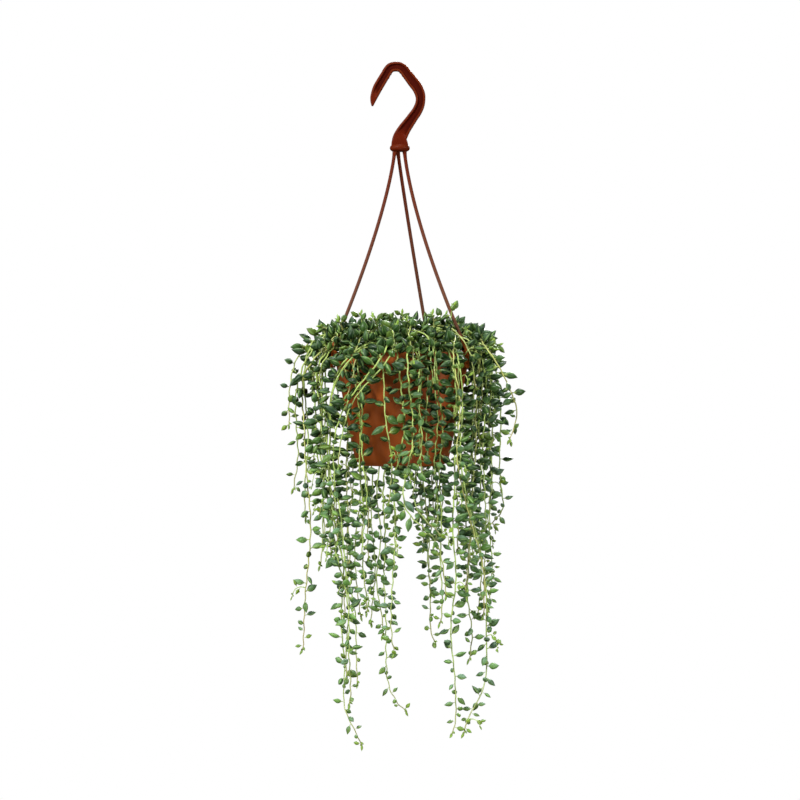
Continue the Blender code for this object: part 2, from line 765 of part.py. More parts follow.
def make_plant(slot):
    """All stems with their leaves. Returns the places where they stand in the soil."""
    draw = random.Random(SEED)
    wanted = [placed_line(*given) for given in PLACED_STEMS]
    wanted += [ruled_line(k, draw) for k in range(RULED_STEMS)]
    spots = root_spots(len(wanted) + CROWNS)
    crown_spots = [spots.pop(0) for _ in range(CROWNS)]
    deep = Vector((0, 0, HOLE_DEPTH - 1.0))
    lines = []
    roots = []
    order = sorted(range(len(wanted)), key=lambda k: wanted[k][0].z)
    for k in order:
        first = wanted[k][0]
        out = (first - polar(0, 0, first.z)).normalized()
        best = min(spots, key=lambda s: (s.xy - (polar(0, 0, 0) + out * 44).xy).length)
        spots.remove(best)
        r = (best - polar(0, 0, 0)).xy.length
        foot = Vector((best.x, best.y, soil_top(r)))
        roots.append((k, foot))
    for k, foot in sorted(roots, key=lambda pair: pair[0]):
        first = wanted[k][0]
        rise = foot + (first - foot) * 0.12
        rise.z = foot.z + 9 + 0.35 * max(first.z - foot.z, 0)
        line = smooth_line([foot + Vector((0, 0, 3)), rise, *wanted[k]], 5.0)
        lines.append([foot - deep, foot + Vector((0, 0, 1)), *line])
    crown_lines = []
    for k, spot in enumerate(crown_spots):
        r = (spot - polar(0, 0, 0)).xy.length
        foot = Vector((spot.x, spot.y, soil_top(r)))
        lean = (foot - polar(0, 0, foot.z)) * 0.5
        for branch in range(3):
            a = math.radians(120 * branch + 70 * k + draw.uniform(-20, 20))
            reach = Vector((math.cos(a), math.sin(a), 0)) * draw.uniform(16, 24)
            up = (48.0, 41.0, 34.0)[branch] + draw.uniform(-5, 5)
            start = foot + Vector((0, 0, 3 + 5 * branch))
            mid = foot + lean * 0.4 + reach * 0.45 + Vector((0, 0, up * 0.7))
            end = foot + lean + reach + Vector((0, 0, up))
            line = smooth_line([start, mid, end], 5.0)
            if branch == 0:
                line = [foot - deep, foot + Vector((0, 0, 1)), *line]
            crown_lines.append((k, branch, line))
    rods = [p for arm in ARMS.values() for p in arm_points(arm, 60)]
    for _, azimuth, _ in ARMS.values():
        rods += [polar(RIM_R + 2, azimuth, RIM_Z - drop) for drop in (0, 4, 8, 12, 16)]
    clear = push_apart(lines + [line for _, _, line in crown_lines], rods)
    crown_lines = [
        (k, branch, line) for (k, branch, _), line in zip(crown_lines, clear[len(lines):])
    ]
    lines = clear[:len(lines)]

    crowd = Crowd()
    stems = []
    for k, line in enumerate(lines):
        stem = [line[0], *stem_from(line[2:], STEM_OFF)]
        stems.append(stem)
        crowd.add_stem(k, stem)
    for a, b in zip(rods, rods[1:]):
        if (b - a).length < 12:
            crowd.add_line(900, [a, b], ARM_R + 1.6)
    count = 0
    crowns = []
    for k, branch, line in crown_lines:
        stem = stem_from(line, 1.0)
        if branch == 0:
            stem = [line[0], *stem_from(line[2:], 1.0)]
            main = stem
        else:
            fork = next(place for place, _, _, _ in walk(main, HOLE_DEPTH + 3.0 + 4.0 * branch, 99))
            stem = [fork, *[p for p in stem[1:] if (p - fork).length > 4]]
        crowns.append((100 + k, branch, stem))
    for owner, branch, stem in crowns:
        crowd.add_stem(owner, stem)
    for k in range(CROWNS):
        owner = 100 + k
        own = [stem for o, _, stem in crowns if o == owner]
        pieces = helpers("crown_pieces")
        body = stem_body(f"crown_{k + 1:02d}", own[0], slot)
        for stem in own[1:]:
            as_helper(stem_body("shoot", stem, None, pieces))
        for n, stem in enumerate(own):
            first = 22.0 if n == 0 else 8.0
            count += leaves_on(owner, stem, first, (CROWN_STEP,), crowd, draw, pieces)
        boolean(body, pieces, "UNION", "MANIFOLD")
        body.data.shade_smooth()
    for k, stem in enumerate(stems):
        pieces = helpers("strand_pieces")
        body = stem_body(f"strand_{k + 1:02d}", stem, slot)
        steps = (TOP_STEP, LEAF_STEP)
        count += leaves_on(k, stem, 27.0, steps, crowd, draw, pieces)
        boolean(body, pieces, "UNION", "MANIFOLD")
        body.data.shade_smooth()
    print(f"{count} leaves on {len(stems)} stems and {CROWNS} crowns")
    return [line[1] for line in lines] + [
        line[1] for _, branch, line in crown_lines if branch == 0
    ]


clear_scene()
terracotta = material("terracotta_plastic", (0.27, 0.055, 0.018), 0.45)
brown = material("hanger_plastic", (0.16, 0.025, 0.012), 0.4)
earth = material("potting_soil", (0.035, 0.022, 0.014), 0.95)
green = material("leaf_green", (0.035, 0.11, 0.035), 0.5)
holes = make_plant(green)
make_pot(terracotta)
make_soil(earth, holes)
make_hanger(brown)
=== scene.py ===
# %% [markdown]
# Hanging pot of pointed beads: the looks
#
# A trailing succulent with plump, lemon-shaped leaves grows in a plastic pot that hangs from
# a moulded hook. The solids of the pot, the hanger, the soil and every leafy stem are already
# modelled at real size, with few faces. This file dresses them: each one is replaced by a finer
# piece that follows the same lines, and each surface gets a material made of nodes.

# %% Load the frame
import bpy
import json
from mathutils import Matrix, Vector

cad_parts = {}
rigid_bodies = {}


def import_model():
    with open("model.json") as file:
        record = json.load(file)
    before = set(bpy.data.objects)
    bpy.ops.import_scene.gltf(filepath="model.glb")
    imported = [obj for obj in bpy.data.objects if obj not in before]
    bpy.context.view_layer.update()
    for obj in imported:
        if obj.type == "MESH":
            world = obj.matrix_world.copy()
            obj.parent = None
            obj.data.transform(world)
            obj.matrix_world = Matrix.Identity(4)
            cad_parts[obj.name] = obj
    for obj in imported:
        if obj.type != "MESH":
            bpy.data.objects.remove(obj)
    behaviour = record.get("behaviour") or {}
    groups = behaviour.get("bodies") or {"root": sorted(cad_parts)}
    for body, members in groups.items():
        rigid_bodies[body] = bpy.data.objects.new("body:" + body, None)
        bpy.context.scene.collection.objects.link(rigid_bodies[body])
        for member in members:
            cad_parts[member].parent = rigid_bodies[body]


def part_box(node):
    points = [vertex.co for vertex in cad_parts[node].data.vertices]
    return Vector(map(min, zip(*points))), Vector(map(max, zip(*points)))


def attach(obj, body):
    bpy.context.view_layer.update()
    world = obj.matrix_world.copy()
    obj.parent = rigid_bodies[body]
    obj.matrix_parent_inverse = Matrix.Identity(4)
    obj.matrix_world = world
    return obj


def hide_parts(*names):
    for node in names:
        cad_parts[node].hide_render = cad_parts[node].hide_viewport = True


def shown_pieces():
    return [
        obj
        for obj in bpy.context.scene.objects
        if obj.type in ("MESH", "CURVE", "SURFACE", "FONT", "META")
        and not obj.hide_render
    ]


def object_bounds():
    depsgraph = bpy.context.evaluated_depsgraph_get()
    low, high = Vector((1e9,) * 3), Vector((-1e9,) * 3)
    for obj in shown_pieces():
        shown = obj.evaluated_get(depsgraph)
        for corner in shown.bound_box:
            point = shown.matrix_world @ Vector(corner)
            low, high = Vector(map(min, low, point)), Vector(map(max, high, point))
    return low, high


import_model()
cad_low, cad_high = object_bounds()
print("the solids reach from", tuple(cad_low), "to", tuple(cad_high))

# %% [markdown]
# Blender counts in metres. The pot and the plant are easier to read in millimetres, so their
# sizes are in millimetres here, and become metres when a mesh is made. Lights, textures and the
# heights in the materials stay in metres.

# %% Tools
import json
import math
import random
from collections import defaultdict

import bmesh
import bpy
import numpy as np
from mathutils import Matrix, Quaternion, Vector
from mathutils.kdtree import KDTree

MM = 0.001

# %% [markdown]
# The photograph looks at the plant level, from far enough that lines hardly converge. Its frame
# is 864 mm wide at the pot's axis. So the camera stands 2.5 m away with a long lens, and no
# shift is needed.

# %% Camera
VIEW_X = 4.9
VIEW_Z = -355.0
VIEW_DISTANCE = 2500.0
FRAME_WIDTH = 864.0
SENSOR = 36.0
camera_data = bpy.data.cameras.new("camera")
camera_data.sensor_width = SENSOR
camera_data.lens = SENSOR * VIEW_DISTANCE / FRAME_WIDTH
camera = bpy.data.objects.new("camera", camera_data)
bpy.context.scene.collection.objects.link(camera)
camera.location = Vector((VIEW_X, -VIEW_DISTANCE, VIEW_Z)) * MM
camera.rotation_euler = (math.radians(90), 0, 0)
bpy.context.scene.camera = camera
print(f"lens {camera_data.lens:.1f} mm")

# %% [markdown]
# A soft light high in front, a little to the left, models the round leaves and leaves deep shade
# between them. One on each side lights the pot's edges, one above lights the tops, one behind
# lights the back, and a weak one low in front keeps the undersides from going black.

# %% Lights
POT_MIDDLE = Vector((0.007, 0.0, -0.38))


def softbox(name, place, size, power):
    """A round area light, in metres and watts, turned to the pot."""
    data = bpy.data.lights.new(name, "AREA")
    data.shape = "DISK"
    data.size = size
    data.energy = power
    light = bpy.data.objects.new(name, data)
    bpy.context.scene.collection.objects.link(light)
    light.location = place
    light.rotation_euler = (POT_MIDDLE - Vector(place)).to_track_quat("-Z", "Y").to_euler()


softbox("key", (-1.3, -1.8, 1.1), 0.8, 106)
softbox("right_side", (2.1, -1.3, 0.1), 0.9, 54)
softbox("left_side", (-2.2, -0.7, 0.1), 0.9, 26)
softbox("top", (0.1, 0.1, 1.7), 0.8, 28)
softbox("back", (0.5, 1.9, 0.9), 0.9, 72)
softbox("below", (0.2, -1.4, -1.9), 1.2, 25)
print(f"{len(bpy.data.lights)} lights")

# %% [markdown]
# Materials are node trees. These helpers add one node each, set its values and link what feeds
# it, so that a tree reads as a list of steps.

# %% Node helpers
def node(tree, kind, inputs=None, **settings):
    """Adds a node. An input is a value or another node's output to link from."""
    made = tree.nodes.new(kind)
    for name, value in settings.items():
        setattr(made, name, value)
    for key, value in (inputs or {}).items():
        if isinstance(value, bpy.types.NodeSocket):
            tree.links.new(value, made.inputs[key])
        else:
            made.inputs[key].default_value = value
    return made


def math_node(tree, operation, first, second=0.0, clamp=False):
    return node(tree, "ShaderNodeMath", {0: first, 1: second}, operation=operation,
                use_clamp=clamp).outputs[0]


def multiply(tree, first, second, clamp=False):
    return math_node(tree, "MULTIPLY", first, second, clamp)


def fade(tree, value, start, end, low=0.0, high=1.0):
    """Goes from `low` to `high` while the value goes from `start` to `end`."""
    return node(tree, "ShaderNodeMapRange", {
        "Value": value, "From Min": start, "From Max": end, "To Min": low, "To Max": high,
    }).outputs["Result"]


def split(tree, vector):
    """The three numbers of a vector, as outputs named X, Y and Z."""
    return node(tree, "ShaderNodeSeparateXYZ", {"Vector": vector}).outputs


def mix_colour(tree, factor, first, second, blend="MIX"):
    made = node(tree, "ShaderNodeMix", data_type="RGBA", blend_type=blend)
    for key, value in (("Factor_Float", factor), ("A_Color", first), ("B_Color", second)):
        socket = next(s for s in made.inputs if s.identifier == key)
        if isinstance(value, bpy.types.NodeSocket):
            tree.links.new(value, socket)
        else:
            socket.default_value = value
    return next(s for s in made.outputs if s.identifier == "Result_Color")


def ramp(tree, value, stops):
    """A colour ramp from (place, grey or colour) stops."""
    made = node(tree, "ShaderNodeValToRGB", {"Fac": value})
    elements = made.color_ramp.elements
    while len(elements) < len(stops):
        elements.new(0.5)
    for element, (place, colour) in zip(elements, stops):
        element.position = place
        element.color = colour if isinstance(colour, tuple) else (colour, colour, colour, 1)
    return made.outputs["Color"]


# %% [markdown]
# Noise is the root of most finishes. It reads a point's own place on the object, in metres, so
# a scale of 100 gives patches of about a centimetre. Squeezed along the height, the same noise
# draws out into upright streaks.

# %% Texture helpers
def own_place(tree):
    return node(tree, "ShaderNodeTexCoord").outputs["Object"]


def noise(tree, place, scale, detail, squeeze=None):
    """Cloudy noise, drawn out along the height where `squeeze` is below 1."""
    if squeeze is not None:
        mapping = node(tree, "ShaderNodeMapping", {"Vector": place, "Scale": (1.0, 1.0, squeeze)})
        place = mapping.outputs["Vector"]
    return node(tree, "ShaderNodeTexNoise", {
        "Vector": place, "Scale": scale, "Detail": detail}).outputs["Fac"]


def bump(tree, height, strength, distance):
    """A surface normal from a height. The distance is in metres."""
    return node(tree, "ShaderNodeBump", {
        "Strength": strength, "Distance": distance, "Height": height}).outputs["Normal"]


def link_all(tree, target, sources):
    """Links each source to the target's input of that name."""
    for label, source in sources.items():
        tree.links.new(source, target.inputs[label])


# %% [markdown]
# An effect that two materials share becomes a node group with named sockets. The shader itself
# stays in the material, because the export can't read one inside a group.

# %% Groups and materials
FLOAT = "NodeSocketFloat"
COLOUR = "NodeSocketColor"
VECTOR = "NodeSocketVector"
SURFACE = (("Colour", COLOUR), ("Roughness", FLOAT), ("Normal", VECTOR))


def new_group(name, inputs):
    """A node group that puts out a surface, with inputs given as (name, kind, default)."""
    tree = bpy.data.node_groups.new(name, "ShaderNodeTree")
    for label, kind, default in inputs:
        socket = tree.interface.new_socket(name=label, in_out="INPUT", socket_type=kind)
        socket.default_value = default
    for label, kind in SURFACE:
        tree.interface.new_socket(name=label, in_out="OUTPUT", socket_type=kind)
    return tree, node(tree, "NodeGroupInput").outputs, node(tree, "NodeGroupOutput")


def new_material(name, roughness):
    made = bpy.data.materials.new(name)
    made.use_nodes = True
    principled = made.node_tree.nodes["Principled BSDF"]
    principled.inputs["Roughness"].default_value = roughness
    return made, made.node_tree, principled


def surface(tree, principled, colour, group):
    """Gives the shader a colour, and a group's roughness and normal."""
    link_all(tree, principled, {"Base Color": colour, "Roughness": group.outputs["Roughness"],
                                "Normal": group.outputs["Normal"]})


def tell(made):
    tree = getattr(made, "node_tree", made)
    print(f"{made.name}: {len(tree.nodes)} nodes")


# %% [markdown]
# The photograph shows the plant cut out on pure white, with no floor and no shadow. So the world
# is white for the camera's own rays, from every side, and dim for the light that falls on the
# plant, which keeps the shade between the leaves deep.

# %% White surroundings
ROOM_LIGHT = 0.03
world = bpy.data.worlds.new("white_room")
world.use_nodes = True
background = world.node_tree.nodes["Background"]
background.inputs["Color"].default_value = (1, 1, 1, 1)
seen = node(world.node_tree, "ShaderNodeLightPath").outputs["Is Camera Ray"]
link_all(world.node_tree, background, {"Strength": fade(world.node_tree, seen, 0.0, 1.0, ROOM_LIGHT)})
bpy.context.scene.world = world
bpy.context.scene.view_settings.view_transform = "Standard"
bpy.context.scene.view_settings.look = "None"
tell(world)

# %% [markdown]
# Pot and hanger are both moulded plastic. Moulded plastic is never one flat colour: the pigment
# is slightly cloudy, the skin has a fine pebble from the mould, and handling leaves faint scuffs.
# The sharp edges get a painted highlight, as if they caught the light. One node group makes all
# of it, and each material gives it its own colours and strengths.

# %% Moulded plastic group
def make_moulded_group():
    tree, given, result = new_group("moulded_plastic", [
        ("Colour", COLOUR, (0.3, 0.06, 0.02, 1)), ("Cloud Colour", COLOUR, (0.4, 0.1, 0.04, 1)),
        ("Cloudiness", FLOAT, 0.4), ("Painted Edge Highlight", FLOAT, 0.5), ("Scuffs", FLOAT, 0.3),
        ("Roughness", FLOAT, 0.4), ("Pebble", FLOAT, 0.2)])
    place = own_place(tree)
    pale = given["Cloud Colour"]
    clouds = ramp(tree, noise(tree, place, 38.0, 4.0), [(0.35, 0.0), (0.7, 1.0)])
    body = mix_colour(tree, multiply(tree, clouds, given["Cloudiness"]), given["Colour"], pale)

    # Painted highlight: the sharp edges are painted paler, as if they caught the light.
    point = node(tree, "ShaderNodeNewGeometry").outputs["Pointiness"]
    corners = ramp(tree, point, [(0.51, 0.0), (0.58, 1.0)])
    painted_edge_colour = mix_colour(tree, multiply(tree, corners, given["Painted Edge Highlight"], clamp=True), body, pale)

    streaks = ramp(tree, noise(tree, place, 520.0, 3.0, squeeze=0.12), [(0.56, 0.0), (0.68, 1.0)])
    scuffs = multiply(tree, streaks, given["Scuffs"], clamp=True)
    coloured = mix_colour(tree, multiply(tree, scuffs, 0.35), painted_edge_colour, pale)
    rough = math_node(tree, "ADD", given["Roughness"], multiply(tree, scuffs, 0.25), clamp=True)

    pebble = bump(tree, noise(tree, place, 1500.0, 2.0), given["Pebble"], 0.0002)
    link_all(tree, result, {"Colour": coloured, "Roughness": rough, "Normal": pebble})
    return tree


moulded = make_moulded_group()
tell(moulded)


def moulded_material(name, shine, values):
    """A material with the moulded group in it, its named inputs set to `values`."""
    made, tree, principled = new_material(name, values["Roughness"])
    principled.inputs["Specular IOR Level"].default_value = shine
    return made, tree, principled, node(tree, "ShaderNodeGroup", values, node_tree=moulded)


# %% [markdown]
# The pot is terracotta-coloured polypropylene. Watering leaves dull runs of lime down its side.
# They are noise drawn out along the height, so they need no texture map.

# %% Pot material
POT_BROWN = (0.225, 0.047, 0.005, 1)
POT_CLOUDS = (0.31, 0.085, 0.016, 1)
LIME = (0.42, 0.22, 0.14, 1)
LIME_STRENGTH = 0.09


def make_pot_material():
    made, tree, principled, group = moulded_material("terracotta_plastic", 0.2, {
        "Colour": POT_BROWN, "Cloud Colour": POT_CLOUDS, "Cloudiness": 0.12, "Painted Edge Highlight": 0.45,
        "Scuffs": 0.2, "Roughness": 0.48, "Pebble": 0.22})
    streak = noise(tree, own_place(tree), 120.0, 4.0, squeeze=0.07)
    lime = multiply(tree, ramp(tree, streak, [(0.52, 0.0), (0.75, 1.0)]), LIME_STRENGTH)
    surface(tree, principled, mix_colour(tree, lime, group.outputs["Colour"], LIME), group)
    return made


pot_plastic = make_pot_material()
tell(pot_plastic)

# %% [markdown]
# The hanger is a darker red-brown. Its thick hook looks nearly maroon, and its sunken web gets a
# painted shade. Its thin rods are painted lighter and browner the lower they are, and its clips
# are painted orange: a painted light, as if light shone through them. So the colour is mixed by
# height, and in the hook by how deep a point lies under the ribs.

# %% Hanger material
HOOK_RED = (0.068, 0.0055, 0.0008, 1)
HOOK_CLOUDS = (0.105, 0.022, 0.006, 1)
WEB_PAINTED_SHADE = (0.030, 0.001, 0.0003, 1)
ROD_PAINTED_LIGHT = (0.118, 0.066, 0.041, 1)
CLIP_PAINTED_LIGHT = (0.26, 0.062, 0.010, 1)
# Where each tint starts and where it is whole: a depth for the web's painted shade, and heights
WEB_DEPTH = (0.0033, 0.0018)
HOOK_HEIGHT = (-0.074, -0.060)
ROD_HEIGHT = (-0.09, -0.31)
CLIP_HEIGHT = (-0.282, -0.300)


def make_hanger_material():
    made, tree, principled, group = moulded_material("hanger_plastic", 0.04, {
        "Colour": HOOK_RED, "Cloud Colour": HOOK_CLOUDS, "Cloudiness": 0.25, "Painted Edge Highlight": 0.5,
        "Scuffs": 0.3, "Roughness": 0.42, "Pebble": 0.15})
    place = split(tree, own_place(tree))
    # Painted shade: the sunken web of the hook is painted darker.
    sunken = fade(tree, math_node(tree, "ABSOLUTE", place["Y"]), *WEB_DEPTH)
    web_shade_mask = multiply(tree, sunken, fade(tree, place["Z"], *HOOK_HEIGHT))
    tint = mix_colour(tree, multiply(tree, web_shade_mask, 0.7), group.outputs["Colour"], WEB_PAINTED_SHADE)
    # Painted light: the rods are painted lighter lower down, and the clips orange.
    low = fade(tree, place["Z"], *ROD_HEIGHT)
    tint = mix_colour(tree, multiply(tree, low, 0.7), tint, ROD_PAINTED_LIGHT)
    tint = mix_colour(tree, fade(tree, place["Z"], *CLIP_HEIGHT), tint, CLIP_PAINTED_LIGHT)
    surface(tree, principled, tint, group)
    return made


hanger_plastic = make_hanger_material()
tell(hanger_plastic)

# %% [markdown]
# Potting soil is dark peat with bark, fibres and pale perlite. The grains are real geometry
# further down. The material adds damp and dry patches and the crumbly bump between the grains.

# %% Soil material
PEAT = ((0.3, (0.012, 0.008, 0.005, 1)), (0.55, (0.035, 0.022, 0.013, 1)),
        (0.75, (0.075, 0.048, 0.028, 1)))
PERLITE = ((0.3, (0.35, 0.31, 0.25, 1)), (0.6, (0.72, 0.69, 0.62, 1)))


def make_soil_material():
    made, tree, principled = new_material("potting_soil", 0.95)
    place = own_place(tree)
    crumbs = node(tree, "ShaderNodeTexVoronoi", {"Vector": place, "Scale": 420.0})
    earth = ramp(tree, noise(tree, place, 60.0, 5.0), PEAT)
    grain = ramp(tree, crumbs.outputs["Distance"], [(0.0, 1.0), (0.6, 0.55)])
    link_all(tree, principled, {
        "Base Color": mix_colour(tree, 1.0, earth, grain, "MULTIPLY"),
        "Normal": bump(tree, crumbs.outputs["Distance"], 0.8, 0.001)})
    return made


def make_perlite_material():
    made, tree, principled = new_material("perlite", 0.85)
    pits = noise(tree, own_place(tree), 900.0, 3.0)
    link_all(tree, principled, {
        "Base Color": ramp(tree, pits, PERLITE), "Normal": bump(tree, pits, 0.5, 0.0005)})
    return made


potting_soil = make_soil_material()
perlite = make_perlite_material()
tell(potting_soil)
tell(perlite)

# %% [markdown]
# The leaves and stems carry a greyish wax that rubs off in places. The wax group lays it over any
# green: more where the noise says so, and more on what faces up, which is a painted highlight on
# the tops. Wax is also rougher than the skin below it.

# %% Wax group
def make_wax_group():
    tree, given, result = new_group("waxy_bloom", [
        ("Colour", COLOUR, (0.03, 0.1, 0.04, 1)), ("Wax Colour", COLOUR, (0.2, 0.3, 0.24, 1)),
        ("Amount", FLOAT, 0.5), ("Roughness", FLOAT, 0.36)])
    place = own_place(tree)
    patches = ramp(tree, noise(tree, place, 260.0, 3.0), [(0.35, 0.25), (0.65, 1.0)])
    # Painted highlight: more pale wax colour on what faces up, as if lit from above.
    up = split(tree, node(tree, "ShaderNodeNewGeometry").outputs["Normal"])["Z"]
    painted_top_light = fade(tree, up, -0.4, 0.9, 0.15, 1.0)
    wax = multiply(tree, multiply(tree, patches, painted_top_light), given["Amount"], clamp=True)
    link_all(tree, result, {
        "Colour": mix_colour(tree, wax, given["Colour"], given["Wax Colour"]),
        "Roughness": math_node(tree, "ADD", given["Roughness"], multiply(tree, wax, 0.3)),
        "Normal": bump(tree, noise(tree, place, 1300.0, 2.0), 0.12, 0.0002)})
    return tree


waxy = make_wax_group()
tell(waxy)


def waxed(tree, principled, colour, wax_colour, amount, roughness):
    """Lays wax over a colour and gives both to the shader."""
    group = node(tree, "ShaderNodeGroup", {
        "Colour": colour, "Wax Colour": wax_colour, "Amount": amount, "Roughness": roughness,
    }, node_tree=waxy)
    surface(tree, principled, group.outputs["Colour"], group)


def growth_attribute(tree, name):
    """The three numbers that the mesh carries under this name, as X, Y and Z."""
    return split(tree, node(tree, "ShaderNodeAttribute", attribute_name=name).outputs["Vector"])


# %% [markdown]
# A leaf of this plant is a little green lens full of water. Light enters through clear stripes
# that run from its base to its tip and along its two margins, so it shows paler lines on a dark
# green. The mesh carries two attributes that the material reads: `leaf_place`, where a point is
# on its own leaf (across, across, along), and `leaf_kind`, the leaf's own tone, youth and wax,
# all three with the painted light and shade of the leaf's place in them.

# %% Leaf material
STRIPES = 6
LEAF_DARK = (0.002, 0.012, 0.001, 1)
LEAF_BRIGHT = (0.100, 0.222, 0.038, 1)
LEAF_YOUNG = (0.19, 0.29, 0.02, 1)
LEAF_STRIPE = (0.15, 0.31, 0.085, 1)
LEAF_MARGIN = (0.24, 0.39, 0.11, 1)
LEAF_BASE = (0.30, 0.38, 0.10, 1)
LEAF_TIP = (0.10, 0.09, 0.03, 1)
LEAF_WAX = (0.16, 0.27, 0.18, 1)


def make_leaf_material():
    made, tree, principled = new_material("bead_leaf", 0.4)
    principled.inputs["Specular IOR Level"].default_value = 0.17
    place = growth_attribute(tree, "leaf_place")
    kind = growth_attribute(tree, "leaf_kind")
    # The tone carries painted light and shade: darker deep in the mound, brighter where stems hang
    # free.
    tint = mix_colour(tree, kind["X"], LEAF_DARK, LEAF_BRIGHT)
    tint = mix_colour(tree, kind["Y"], tint, LEAF_YOUNG)

    turn = math_node(tree, "ARCTAN2", place["Y"], place["X"])
    wave = math_node(tree, "SINE", multiply(tree, turn, float(STRIPES)))
    crest = math_node(tree, "ADD", multiply(tree, wave, 0.5), 0.5)
    lines = ramp(tree, crest, [(0.6, 0.0), (0.98, 1.0)])
    along = ramp(tree, place["Z"], [(0.04, 0.0), (0.2, 1.0), (0.8, 1.0), (0.97, 0.2)])
    stripe = multiply(tree, multiply(tree, lines, along), 0.14)
    tint = mix_colour(tree, stripe, tint, LEAF_STRIPE)

    edge = math_node(tree, "ABSOLUTE", math_node(tree, "SINE", turn))
    # Painted shade: the pale margins are weaker where the tone is painted darker.
    shown = math_node(tree, "ADD", multiply(tree, kind["X"], 0.5), 0.4, clamp=True)
    margin = multiply(tree, ramp(tree, edge, [(0.06, 1.0), (0.42, 0.0)]),
                      multiply(tree, along, shown))
    tint = mix_colour(tree, margin, tint, LEAF_MARGIN)

    base = ramp(tree, place["Z"], [(0.0, 1.0), (0.16, 0.0)])
    tint = mix_colour(tree, multiply(tree, base, 0.85), tint, LEAF_BASE)
    tip = ramp(tree, place["Z"], [(0.9, 0.0), (0.985, 1.0)])
    tint = mix_colour(tree, multiply(tree, tip, 0.6), tint, LEAF_TIP)
    waxed(tree, principled, tint, LEAF_WAX, kind["Z"], 0.34)
    return made


bead_leaf = make_leaf_material()
tell(bead_leaf)

# %% [markdown]
# Stems are pale yellow-green, and browner towards their tips. The same attributes tell the
# material how far along the stem a point is, and the stem's own tone. The stems with the highest
# tone have warm brown patches.

# %% Stem material
STEM_GREENS = ((0.0, (0.28, 0.40, 0.075, 1)), (0.45, (0.32, 0.44, 0.09, 1)),
               (0.85, (0.25, 0.34, 0.08, 1)), (1.0, (0.26, 0.26, 0.09, 1)))
STEM_WARM = (0.42, 0.27, 0.09, 1)
STEM_WAX = (0.44, 0.52, 0.28, 1)


def make_stem_material():
    made, tree, principled = new_material("bead_stem", 0.5)
    share = growth_attribute(tree, "leaf_place")["Z"]
    tone = growth_attribute(tree, "leaf_kind")["X"]
    patch = noise(tree, own_place(tree), 45.0, 3.0)
    warmth = multiply(tree, patch, math_node(tree, "POWER", tone, 5.0), clamp=True)
    warm = mix_colour(tree, warmth, ramp(tree, share, STEM_GREENS), STEM_WARM)
    waxed(tree, principled, warm, STEM_WAX, 0.25, 0.42)
    return made


bead_stem = make_stem_material()
tell(bead_stem)

# %% [markdown]
# The sizes below are the ones the solids were made with. The frame's boxes tell whether they
# still agree.

# %% Sizes of the pot
POT_X = 7.0
RIM_Z = -304.6
RIM_R = 75.0
SKIRT_H = 13.5
SKIRT_T = 1.4
WALL_T = 1.6
WALL_TOP_R = 71.2
WALL_LOW_R = 52.0
WALL_LOW_H = 108.0
POT_H = 121.0
FOOT_R = 44.0
FLOOR_T = 2.4
FLOOR_RISE = 3.0
DRAIN_R = 4.0
DRAIN_RING_R = 27.0
SOIL_DROP = 11.0
HOLE_DEPTH = 12.0
GAP = 0.3
WALL_LOW_Z = RIM_Z - WALL_LOW_H
FOOT_Z = RIM_Z - POT_H
pot_low, pot_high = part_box("pot")
print(f"pot {1000 * (pot_high.x - pot_low.x):.1f} mm wide, rim at {1000 * pot_high.z:.1f} mm")


# %% [markdown]
# Everything stands around the pot's axis, so most places are given by a radius, an azimuth and a
# height. A stem's route is a rounded line through a few points. What is carried along such
# a line, a round section or a leaf, needs a way square to it at each point that barely twists.

# %% Places and lines
def polar(r, azimuth, z):
    """A point by its distance from the pot's axis, its azimuth in degrees and its height."""
    angle = math.radians(azimuth)
    return Vector((POT_X + r * math.cos(angle), r * math.sin(angle), z))


def off_axis(spot):
    """The level way from the pot's axis to a point, as long as the point is far."""
    return Vector((spot.x - POT_X, spot.y, 0.0))


def clipped(value):
    """A value held between 0 and 1."""
    return min(max(value, 0.0), 1.0)


def smooth_line(points, step):
    """Points about `step` apart on a rounded line through the given ones."""
    ends = [points[0], *points, points[-1]]
    out = []
    for a, b, c, d in zip(ends, ends[1:], ends[2:], ends[3:]):
        count = max(1, round((c - b).length / step))
        for k in range(count):
            t = k / count
            out.append(
                0.5 * (2 * b + (c - a) * t + (2 * a - 5 * b + 4 * c - d) * t * t
                       + (3 * b - a - 3 * c + d) * t ** 3)
            )
    out.append(points[-1])
    return out


def frames(points):
    """For each point of a line, the way that it runs and a way square to it that barely twists."""
    out = []
    side = (points[1] - points[0]).orthogonal().normalized()
    for k in range(len(points)):
        before, after = points[max(k - 1, 0)], points[min(k + 1, len(points) - 1)]
        along = (after - points[k]).normalized() + (points[k] - before).normalized()
        along.normalize()
        side = (side - along * side.dot(along)).normalized()
        out.append((along, side))
    return out


# %% [markdown]
# A turned piece is a half section spun round an axis by a Screw modifier. A Bevel modifier then
# rounds the moulded edges that a real mould never leaves sharp. A tube, a hook or a soil fill is
# a pile of rings instead, joined by bands of faces.

# %% Turned pieces and rings
BOX_FACES = [(0, 1, 3, 2), (4, 6, 7, 5), (0, 4, 5, 1), (2, 3, 7, 6), (0, 2, 6, 4), (1, 5, 7, 3)]


def from_mesh(name, points, faces, edges=()):
    """An object from points in millimetres."""
    mesh = bpy.data.meshes.new(name)
    mesh.from_pydata([Vector(p) * MM for p in points], list(edges), list(faces))
    made = bpy.data.objects.new(name, mesh)
    bpy.context.scene.collection.objects.link(made)
    return made


def apply_modifiers(obj):
    graph = bpy.context.evaluated_depsgraph_get()
    baked = bpy.data.meshes.new_from_object(obj.evaluated_get(graph))
    obj.modifiers.clear()
    obj.data = baked


def bevelled(obj, width, sharper_than):
    """Rounds the edges that turn by more than an angle in degrees."""
    bevel = obj.modifiers.new("edges", "BEVEL")
    bevel.width = width * MM
    bevel.segments = 3
    bevel.limit_method = "ANGLE"
    bevel.angle_limit = math.radians(sharper_than)
    apply_modifiers(obj)
    return obj


